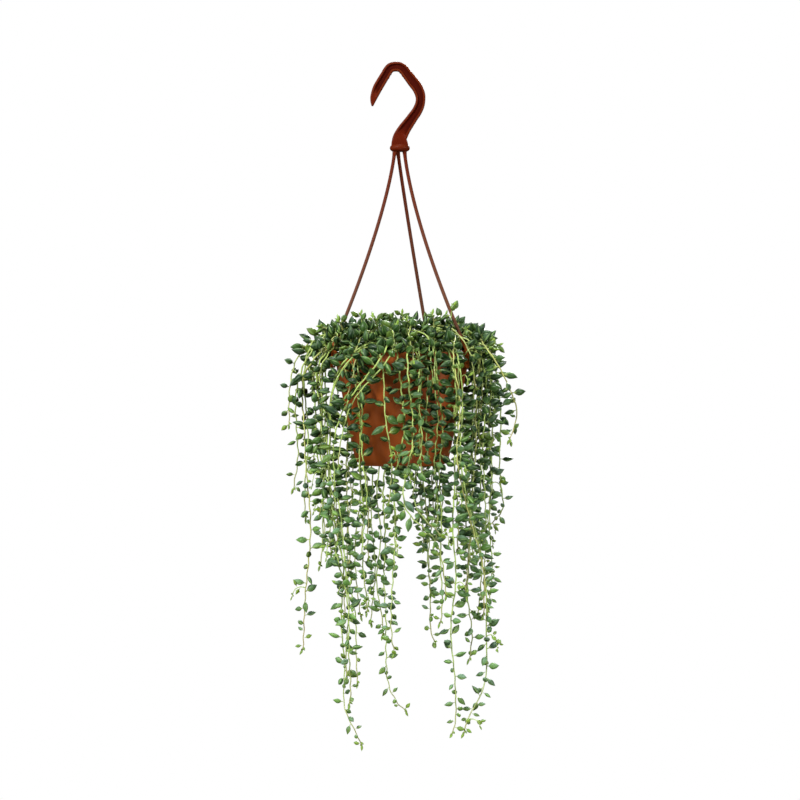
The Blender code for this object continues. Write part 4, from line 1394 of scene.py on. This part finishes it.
# %% Upright shoots and runners
# Azimuth and radius of the foot, height of the tip above the rim, and lean outwards
RISERS = (
    (-38, 55, 50, 13), (-56, 57, 40, 6), (-80, 50, 34, 4), (-139, 54, 40, 8), (-152, 63, 34, 10),
    (-160, 60, 36, 12), (-168, 62, 28, 24), (-146, 66, 22, 12), (-27, 60, 24, 14),
    (-14, 63, 7, 42), (-32, 63, 5, 40), (-22, 64, 8, 40), (-98, 60, 28, 5), (35, 56, 30, 10),
    (90, 55, 30, 8), (140, 58, 32, 10), (8, 60, 20, 20), (60, 60, 24, 12), (115, 62, 26, 12),
    (-10, 64, 4, 36), (-27, 64, 3, 37), (-60, 34, 28, 6), (-120, 34, 28, 6), (180, 36, 28, 6),
    (120, 36, 28, 6), (60, 36, 28, 6), (0, 36, 28, 6),
)
# Azimuth where the runner starts and where it leaves the rim, and how far it drops below the rim
RUNNERS = (
    (-175, -152, 30), (-75, -122, 46), (-60, -84, 10), (-100, -70, 34), (-60, -40, 40),
    (-45, -30, 70), (-30, -20, 90), (-10, -9, 110), (10, 4, 100), (40, 22, 40), (60, 84, 34),
    (150, 118, 50), (120, 152, 30), (-160, 172, 36),
)
ROOT_BELOW = Vector((0, 0, 6))


def riser_line(azimuth, r, up, lean, draw):
    foot = polar(r, azimuth, soil_top(r))
    knee = polar(r + lean * 0.25, azimuth + draw.uniform(-4, 4), RIM_Z + up * 0.45)
    tip = polar(r + lean, azimuth + draw.uniform(-4, 4), RIM_Z + up)
    return smooth_line([foot - ROOT_BELOW, foot, knee, tip], 5.0)


def runner_line(start, over, drop, draw):
    top = RIM_Z + draw.uniform(22, 29)
    foot = polar(24, start, soil_top(24))
    points = [
        foot - ROOT_BELOW, foot, polar(26, start, top - 12), polar(46, (start + over) / 2, top),
        polar(70, over, top - 5), polar(90, over, RIM_Z + 6), polar(97, over, RIM_Z - 12),
    ]
    if drop > 25:
        points.append(polar(99, over + draw.uniform(-3, 3), RIM_Z - drop * 0.6))
    points.append(polar(98, over + draw.uniform(-4, 4), RIM_Z - drop))
    return smooth_line(points, 5.0)


risers = [riser_line(*given, extra_draw) for given in RISERS]
runners = [runner_line(*given, extra_draw) for given in RUNNERS]
extras = push_apart(companions + risers + runners, rods + [p for line in clear for p in line])
print(f"{len(risers)} upright shoots and {len(runners)} runners")

# %% [markdown]
# One leaf's shape is made once and placed again and again: seven sides, widest a little below
# the middle, and drawn out to a point. Its first rows are the thin stalk, which starts in
# the stem.

# %% Shape of a leaf
LEAF_SIDES = 7
LEAF_FLAT = 0.78
LEAF_BOW = 0.14
# Half width of a leaf, as a share of its greatest, at places from its stalk to its tip
LEAF_PROFILE = (
    (-0.20, 0.15), (-0.04, 0.13), (0.05, 0.38), (0.15, 0.68), (0.28, 0.92), (0.42, 1.0),
    (0.57, 0.90), (0.72, 0.66), (0.86, 0.34), (0.95, 0.12),
)


def leaf_shape():
    """Corners (across, across, along) of a leaf of unit size, with its faces."""
    corners = []
    for along, half in LEAF_PROFILE:
        for k in range(LEAF_SIDES):
            angle = 2 * math.pi * k / LEAF_SIDES
            corners.append((half * math.cos(angle), half * math.sin(angle), along))
    tip = len(corners)
    last = tip - LEAF_SIDES
    corners.append((0, 0, 1.0))
    faces = [tuple(reversed(range(LEAF_SIDES))), *bands(0, len(LEAF_PROFILE), LEAF_SIDES)]
    faces += [(last + k, last + (k + 1) % LEAF_SIDES, tip) for k in range(LEAF_SIDES)]
    return np.array(corners), faces


LEAF_CORNERS, LEAF_FACES = leaf_shape()
print(f"a leaf has {len(LEAF_FACES)} faces")

# %% [markdown]
# A growing piece is collected as plain lists: corners, faces, which finish each face has, and the
# two attributes for the materials. Deep in the mound little light arrives. A render with few
# bounces shows that only in part, so a leaf that many others cover from outside and above is
# also made darker. Stems that hang free are spared most of it.

# %% Growth
STEM_SLOT, LEAF_SLOT = 0, 1
STEM_SIDES = 6
STEM_R = 1.05
STEM_TIP_R = 0.62
# Leaves are counted in a ball of this radius, and this many give the deepest shade
SHADE_AT = 13.0
SHADE_FULL = 7
SHADE_DEPTH = 0.8
SHADE_SPARED = 0.7


def hanging_free(spot):
    """0 at the rim and above, 1 well below it."""
    return clipped((RIM_Z - 40 - spot.z) / 140)


class Growth:
    """Stems and leaves that become one mesh."""

    def __init__(self):
        self.points = []
        self.faces = []
        self.slots = []
        self.places = []
        self.kinds = []
        self.leaves = []

    def add(self, points, faces, slot, places, kind):
        start = len(self.points)
        self.points += [tuple(p) for p in points]
        self.faces += [tuple(start + k for k in face) for face in faces]
        self.slots += [slot] * len(faces)
        self.places += [tuple(p) for p in places]
        self.kinds += [kind] * len(points)

    def add_stem(self, points, radii, tone):
        corners, faces = ring_tube(points, radii, STEM_SIDES)
        last = len(points) - 1
        places = [(1, 0, (k // STEM_SIDES) / last) for k in range(len(corners))]
        self.add(corners, faces, STEM_SLOT, places, (tone, 0, 0))

    def add_leaf(self, root, way, roll, length, radius, tone, youth, wax):
        turn = np.array((way.to_track_quat("Z", "Y") @ Quaternion((0, 0, 1), roll)).to_matrix())
        shape = LEAF_CORNERS * (radius, radius * LEAF_FLAT, length)
        shape[:, 1] += LEAF_BOW * length * (LEAF_CORNERS[:, 2].clip(0, 1) ** 2)
        points = shape @ turn.T + np.array(root)
        self.leaves.append((len(self.points), root + way * length * 0.5))
        self.add(points, LEAF_FACES, LEAF_SLOT, LEAF_CORNERS, (tone, youth, wax))

    def shade(self, tree):
        """Makes the leaves darker that have many others outside and above them."""
        for start, spot in self.leaves:
            out = (off_axis(spot).normalized() + Vector((0, 0, 0.7))).normalized()
            over = len(tree.find_range(spot + out * SHADE_AT, SHADE_AT))
            keep = 1.0 - SHADE_DEPTH * min(over / SHADE_FULL, 1.0)
            keep += (1.0 - keep) * SHADE_SPARED * hanging_free(spot)
            kind = tuple(value * keep for value in self.kinds[start])
            self.kinds[start:start + len(LEAF_CORNERS)] = [kind] * len(LEAF_CORNERS)

    def finish(self, name, replaced):
        obj = from_mesh(name, self.points, self.faces)
        mesh = obj.data
        mesh.polygons.foreach_set("material_index", self.slots)
        for label, values in (("leaf_place", self.places), ("leaf_kind", self.kinds)):
            attribute = mesh.attributes.new(label, "FLOAT_VECTOR", "POINT")
            attribute.data.foreach_set("vector", np.array(values, np.float32).ravel())
        mesh.shade_smooth()
        return dress(obj, "leaf_green", replaced, bead_stem, bead_leaf)


# %% [markdown]
# Leaves press against each other but don't grow through each other. Each leaf and stem is
# remembered as a row of balls in a grid of small cells, each ball with the number of its owner,
# and a new leaf is turned until it is free.

# %% Room for leaves
CELL = 9.0
PRESS = 0.35
# Share of a leaf's length and share of its half width, for each of its balls
LEAF_BALLS = ((0.2, 0.6), (0.42, 0.95), (0.64, 0.72), (0.86, 0.3))


class Room:
    """Balls of everything that grew so far, in cells for a quick search."""

    def __init__(self):
        self.cells = defaultdict(list)

    def key(self, spot):
        return (int(spot[0] // CELL), int(spot[1] // CELL), int(spot[2] // CELL))

    def add(self, spot, size, owner):
        self.cells[self.key(spot)].append((spot[0], spot[1], spot[2], size, owner))

    def near(self, spot):
        """The balls in the cells around a spot."""
        i, j, k = self.key(spot)
        for a in (i - 1, i, i + 1):
            for b in (j - 1, j, j + 1):
                for c in (k - 1, k, k + 1):
                    yield from self.cells.get((a, b, c), ())

    def free(self, balls, owner):
        """True if the balls touch none but the owner's own."""
        for spot, size in balls:
            x, y, z = spot
            for px, py, pz, other, whose in self.near(spot):
                need = size + other - PRESS
                if whose != owner and (px - x) ** 2 + (py - y) ** 2 + (pz - z) ** 2 < need * need:
                    return False
        return True


def leaf_balls(root, way, length, radius):
    return [(root + way * length * share, radius * part) for share, part in LEAF_BALLS]


# %% [markdown]
# Three more rules say where a leaf may be. It stays off the pot and the soil. It stays within
# the box of the solids, give or take a few millimetres. And it stays out of two lines of sight,
# because the photograph shows the front rod and a stretch of the pot's right edge bare.

# %% Rules for a leaf's place
PROUD = 3.0
CLOSEST = 0.3
ROD_SIGHT = 4.0
# The pot's right edge, seen between the stems, as (lowest x, highest x, lowest z, highest z)
BARE_EDGE = (64.0, 77.0, -344.0, -320.0)


def clear_of_pot(balls):
    """True if a leaf touches neither the pot nor the soil."""
    for spot, size in balls:
        r = off_axis(spot).length
        low = spot.z - size - CLOSEST
        near = max(outside_r(low), outside_r(spot.z))
        if low < RIM_Z and r > 62 and near > 0 and r - size < near + CLOSEST:
            return False
        if r <= 66 and spot.z - size < soil_top(r):
            return False
    return True


def in_box(balls):
    return all(
        low / MM - PROUD < spot[axis] - size and spot[axis] + size < high / MM + PROUD
        for spot, size in balls for axis, (low, high) in enumerate(zip(cad_low, cad_high))
    )


def front_view(spot):
    """Where a point shows from the front, as x and z in the plane of the pot's axis."""
    scale = VIEW_DISTANCE / (VIEW_DISTANCE + spot.y)
    return VIEW_X + (spot.x - VIEW_X) * scale, VIEW_Z + (spot.z - VIEW_Z) * scale


def front_rod():
    """Depth, x and z of the front rod's lower end and its clip, as seen from the front."""
    azimuth = ARMS["right"][1]
    clip = [polar(RIM_R + 2, azimuth, RIM_Z - k) for k in range(1, 15)]
    points = [*arm_points(ARMS["right"], 2 * ARM_STEPS), *clip]
    return [(p.y, *front_view(p)) for p in points if p.z < RIM_Z + 45]


FRONT_ROD = front_rod()


def in_sight_line(balls):
    """True if a leaf hangs before the front rod, or where the pot's edge shows between stems."""
    for spot, size in balls[:3]:
        x, z = front_view(spot)
        if spot.y < 0 and BARE_EDGE[0] < x < BARE_EDGE[1] and BARE_EDGE[2] < z < BARE_EDGE[3]:
            return True
        for y, rod_x, rod_z in FRONT_ROD:
            if spot.y < y and abs(x - rod_x) < ROD_SIGHT and abs(z - rod_z) < ROD_SIGHT:
                return True
    return False


print(f"{len(FRONT_ROD)} points of the front rod are kept in sight")

# %% [markdown]
# Leaves sit singly along a stem, each turned by about the golden angle from the last. How far
# apart they are is a rule of its own, which is given the distance gone and the share of the stem.

# %% Walking along a stem
TOP_PART = 95
TOP_STEP = 6.6
TRAIL_STEP = 9.8
TIP_CLOSER = 2.2
# From this share of the stem on, leaves change towards the tip
LATE_FROM = 0.6
LATE_PART = 0.4


def walk(points, first, step_at):
    """Places along a line: (where, way along, way square to it, share of the whole)."""
    framed = frames(points)
    lengths = [(b - a).length for a, b in zip(points, points[1:])]
    whole = sum(lengths)
    at = first
    gone = 0.0
    k = 0
    while at < whole - 1.0:
        while k < len(lengths) - 1 and at > gone + lengths[k]:
            gone += lengths[k]
            k += 1
        along, side = framed[k]
        where = points[k].lerp(points[k + 1], (at - gone) / max(lengths[k], 0.001))
        yield where, along, side, at / whole
        at += step_at(at, at / whole)


def every(step):
    """Steps between leaves that are all the same."""
    return lambda at, share: step


def top_and_trail(wider=1.0, top=TOP_PART, step=TOP_STEP):
    """Steps that are short on top of the pot, longer on the trail, and shorter again at its end."""
    def step_at(at, share):
        trail = TRAIL_STEP - TIP_CLOSER * max(0.0, share - LATE_FROM) / LATE_PART
        return wider * (step if at < top else trail)
    return step_at


# %% [markdown]
# A leaf takes its looks from its place. Towards the tip leaves get smaller and waxier, and the
# last few are young and yellow-green, as one in fourteen is anywhere. Where a stem hangs free
# they get a painted light and are brighter and waxier, deep in the mound a painted shade, and
# above the rim they reach up and outwards.

# %% Leaves along a stem
LEAF_L = 14.2
LEAF_R = 4.1
STALK = 2.0
GOLDEN = 2.39996
FULL_TURN = 6.28
TRIES = 7
SPROUTS = 0.07


def painted_light_share(spot):
    """Painted light and shade of a leaf: little light deep in the mound, most where stems hang free."""
    outer = clipped((off_axis(spot).length - 66) / 34)
    upper = clipped((spot.z - RIM_Z - 4) / 26)
    return 0.04 + 0.30 * max(outer, upper) + 0.66 * hanging_free(spot)


def fits(balls, room, owner):
    """True if a leaf may be there. Its stalk end may touch leaves of its own stem."""
    return (in_box(balls) and clear_of_pot(balls) and not in_sight_line(balls)
            and room.free(balls, owner) and room.free(balls[1:], -1 - owner))


def leaves_on(growth, room, owner, points, first, step_at, draw, size=1.0, youth=0.0):
    """Adds leaves along a stem where there is room, and says how many found none."""
    missed = 0
    turn = draw.uniform(0, FULL_TURN)
    for where, along, side, share in walk(points, first, step_at):
        late = max(0.0, share - LATE_FROM) / LATE_PART
        above = clipped((where.z - RIM_Z + 6) / 20)
        sprout = 0.3 if draw.random() < SPROUTS else 0.0
        young = min(1.0, youth + (0.8 - 0.4 * above) * late ** (7 - 4 * above) + sprout)
        smaller = 1.0 - (0.32 - 0.1 * above) * late - 0.1 * late ** 6
        scale = size * smaller * draw.uniform(0.74, 1.14)
        away = off_axis(where)
        away = away.normalized() if away.length > 1 else Vector((0, -1, 0))
        for _ in range(TRIES):
            turn += GOLDEN + draw.uniform(-0.5, 0.5)
            out = side * math.cos(turn) + along.cross(side) * math.sin(turn)
            way = out + along * draw.uniform(-0.6, 0.8)
            way += (Vector((0, 0, draw.uniform(-0.2, 0.6))) + away * 0.3) * above
            way.normalize()
            length = LEAF_L * scale * draw.uniform(0.92, 1.08)
            radius = LEAF_R * scale * draw.uniform(0.88, 1.16) * (1 + 0.08 * above)
            root = where + way * (STEM_R + STALK)
            balls = leaf_balls(root, way, length, radius)
            if fits(balls, room, owner):
                break
        else:
            missed += 1
            continue
        # Painted light and shade: tone and wax are darker deep in the mound, brighter where stems hang
        # free.
        light = painted_light_share(root)
        roll = draw.uniform(0, FULL_TURN)
        tone = draw.uniform(0.1, 1.0) ** (1.9 - 0.6 * hanging_free(root)) * light
        wax = draw.uniform(0.0, 0.95) + 0.3 * late * (1 - above)
        wax = wax * (1 - 0.5 * young) * (light + 0.14)
        growth.add_leaf(root, way, roll, length, radius, tone, young, wax)
        for spot, ball in balls:
            room.add(spot, ball, owner)
    return missed


# %% [markdown]
# A stem ends in three tiny leaves that close its growing point. A hanging stem is never straight:
# it sways slowly and kinks a little at each leaf.

# %% Ends and sway
def grow_tip(growth, points, draw, size=1.0):
    """Three small leaves that close a stem's end."""
    way = (points[-1] - points[-3]).normalized()
    side = way.orthogonal().normalized()
    for k in range(3):
        lean = Quaternion(way, 2.1 * k + draw.uniform(-0.4, 0.4)) @ side
        out = (way + lean * (0.35 + 0.25 * k)).normalized()
        growth.add_leaf(points[-1] - way * k * 1.6, out, draw.uniform(0, FULL_TURN),
                        (6.5 - k) * size, (1.5 - 0.12 * k) * size, draw.random(),
                        draw.uniform(0.55, 0.95), 0.3)


def wavy(points, draw):
    """A line that sways and kinks, but for its first stretch on top of the pot."""
    slow, quick = draw.uniform(0, FULL_TURN), draw.uniform(0, FULL_TURN)
    out = []
    for k, (point, (along, side)) in enumerate(zip(points, frames(points))):
        other = along.cross(side)
        sway = 1.3 * math.sin(k * 0.16 + slow) + 0.45 * math.sin(k * 0.9 + quick)
        swing = 1.1 * math.sin(k * 0.13 + quick) + 0.45 * math.cos(k * 0.9 + slow)
        out.append(point + (side * sway + other * swing) * clipped((k - 14) / 10))
    return out


def stem_radii(count, thick, thin):
    return [thick + (thin - thick) * (k / (count - 1)) ** 0.8 for k in range(count)]


# %% [markdown]
# Here and there a stem sends out a side shoot no longer than a finger joint. Its leaves are tiny
# and yellow-green.

# %% Side shoots
TWIG_EVERY = 95.0
NO_TWIG = 0.45
TWIG_LEAF_STEP = 4.2


def add_twigs(growth, room, owner, points, draw):
    for where, _, side, _ in walk(points, draw.uniform(110, 200), every(TWIG_EVERY)):
        if draw.random() < NO_TWIG:
            continue
        away = (off_axis(where).normalized() + side * draw.uniform(-0.9, 0.9)).normalized()
        reach = draw.uniform(8, 15)
        rise, fall = draw.uniform(0.0, 3.0), draw.uniform(4, 16)
        twig = smooth_line([where, where + away * reach * 0.4 + Vector((0, 0, rise)),
                            where + away * reach * 0.8 + Vector((0, 0, rise - fall * 0.3)),
                            where + away * reach - Vector((0, 0, fall))], 2.5)
        growth.add_stem(twig, stem_radii(len(twig), 0.6, 0.35), draw.random())
        leaves_on(growth, room, owner, twig, 5.0, every(TWIG_LEAF_STEP), draw, 0.5, 0.75)
        grow_tip(growth, twig, draw, 0.6)


# %% [markdown]
# The routes so far have a point every 5 mm. Finer ones sway. A crown's second and third shoot
# fork off its first one.

# %% Fine lines
FINE = 2.5
wave_draw = random.Random(47)
fine_lines = [wavy(smooth_line(line, FINE), wave_draw) for line in lines]
fine_extras = [wavy(smooth_line(line, FINE), wave_draw) for line in extras]
fine_shoots = []
main_shoots = {}
for k, branch, line in shoots:
    if branch == 0:
        fine = smooth_line(line, FINE)
        main_shoots[k] = fine
    else:
        fork, _, _, _ = next(walk(main_shoots[k], HOLE_DEPTH + 3 + 4 * branch, every(FINE)))
        fine = smooth_line([fork, *[p for p in line[1:] if (p - fork).length > 4]], FINE)
    fine_shoots.append((k, fine))
print(f"{len(fine_lines)} trailing, {len(fine_extras)} extra and {len(fine_shoots)} short lines")

# %% [markdown]
# All stems are entered in the room before any leaf grows, so that no leaf of an early stem blocks
# a later one. A stem's leaves own the number given here, and the stem itself owns the number
# below 0 that mirrors it, so a leaf can be told from the stem that it sits on.

# %% Stems enter the room
CROWN_OWNER = 100
EXTRA_OWNER = 200
ROD_OWNER = 900
BALL_STEP = 1.6
room = Room()


def enter_line(points, owner, thick):
    for a, b in zip(points, points[1:]):
        count = max(1, math.ceil((b - a).length / BALL_STEP))
        for k in range(count):
            room.add(a.lerp(b, k / count), thick, owner)


for k, line in enumerate(fine_lines):
    enter_line(line, -1 - k, STEM_R)
for k, line in enumerate(fine_extras):
    enter_line(line, -1 - (EXTRA_OWNER + k), STEM_R)
for k, line in fine_shoots:
    enter_line(line, -1 - (CROWN_OWNER + k), STEM_R)
for a, b in zip(rods, rods[1:]):
    # Longer steps lead from one rod to the next
    if (b - a).length < 12:
        enter_line([a, b], ROD_OWNER, ARM_R + 0.9)
print(f"{sum(len(cell) for cell in room.cells.values())} balls of stems and rods")

# %% [markdown]
# Then everything grows, the crowns first. The photograph shows some stems leafier than others, so
# each may have its own spacing. A crown, or a trailing stem, becomes one piece that stands for
# its solid.

# %% Crowns and trailing stems
CROWN_STEP = 5.0
CROWN_TIP_R = 0.7
# Stems with their leaves further apart or closer together than the others
SPACING = {0: 1.1, 3: 1.25, 4: 2.0, 6: 0.85, 7: 0.85, 9: 0.88, 10: 0.88, 11: 0.88, 13: 0.8,
           14: 0.9, 15: 0.85, 16: 0.8, 17: 0.7, 22: 1.5, 32: 1.6, 33: 2.2, 34: 2.2}
# Stems that are as leafy before the pot's wall as on top, and how long that stretch is
LEAFY = (9, 11, 12, 13)
LEAFY_PART = 220
# Stems that are leafier on top, and their step there
LEAFY_TOP = (17, 18, 19, 20, 21, 23, 24)
LEAFY_TOP_STEP = 4.4
leaf_draw = random.Random(31)
grown = []
missed = 0


def grow(growth, line, owner, first, steps, thick=STEM_R, thin=STEM_TIP_R, size=1.0, twigs=False):
    """Grows one stem with its leaves and its tip, and says how many leaves found no room."""
    growth.add_stem(line, stem_radii(len(line), thick, thin), leaf_draw.random())
    without = leaves_on(growth, room, owner, line, first, steps, leaf_draw, size)
    if twigs:
        add_twigs(growth, room, owner, line, leaf_draw)
    grow_tip(growth, line, leaf_draw)
    return without


for k in range(CROWNS):
    growth = Growth()
    for branch, line in enumerate(line for crown, line in fine_shoots if crown == k):
        missed += grow(growth, line, CROWN_OWNER + k, 20.0 if branch == 0 else 5.0,
                       every(CROWN_STEP), thin=CROWN_TIP_R)
    grown.append((growth, f"leafy_shoots_{k + 1:02d}", [f"crown_{k + 1:02d}"]))
for k, line in enumerate(fine_lines):
    growth = Growth()
    steps = top_and_trail(SPACING.get(k, 1.0), LEAFY_PART if k in LEAFY else TOP_PART,
                          LEAFY_TOP_STEP if k in LEAFY_TOP else TOP_STEP)
    missed += grow(growth, line, k, 22.0, steps, twigs=True)
    grown.append((growth, f"trailing_stem_{k + 1:02d}", [f"strand_{k + 1:02d}"]))
print(f"{len(grown)} pieces, {missed} leaves found no room")

# %% [markdown]
# The stems between, the upright shoots and the runners are thinner, with slightly smaller leaves.
# They are pieces of their own and stand for no solid.

# %% Thin stems, upright shoots and runners
THINNER = 0.85
# The last thin stem, beside a sparse one at the back, has few leaves too
THIN_SPACING = {25: 2.2}
# Name, how many there are, distance of the first leaf, step between leaves (None for the steps of
# a trailing stem), and size of a leaf
EXTRA_KINDS = (
    ("thin_stem", len(companions), 22.0, None, 0.92),
    ("upright_shoot", len(risers), 16.0, 4.8, 0.95),
    ("runner", len(runners), 26.0, 8.0, 0.9),
)
fine_extra = iter(enumerate(fine_extras))
for kind, count, first, step, size in EXTRA_KINDS:
    for number in range(count):
        k, line = next(fine_extra)
        growth = Growth()
        steps = every(step) if step else top_and_trail(THIN_SPACING.get(number, 1.0))
        missed += grow(growth, line, EXTRA_OWNER + k, first, steps, STEM_R * THINNER, size=size)
        grown.append((growth, f"{kind}_{number + 1:02d}", []))
print(f"{len(grown)} pieces, {missed} leaves found no room")

# %% [markdown]
# Last, every leaf is shaded by the crowd around it, and each growth becomes a mesh.

# %% Shading and meshes
middles = [spot for growth, _, _ in grown for _, spot in growth.leaves]
crowd = KDTree(len(middles))
for k, spot in enumerate(middles):
    crowd.insert(spot, k)
crowd.balance()
for growth, name, replaced in grown:
    growth.shade(crowd)
    growth.finish(name, replaced)
faces = sum(len(piece.data.polygons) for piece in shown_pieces())
print(f"{len(middles)} leaves, {faces} faces in all")
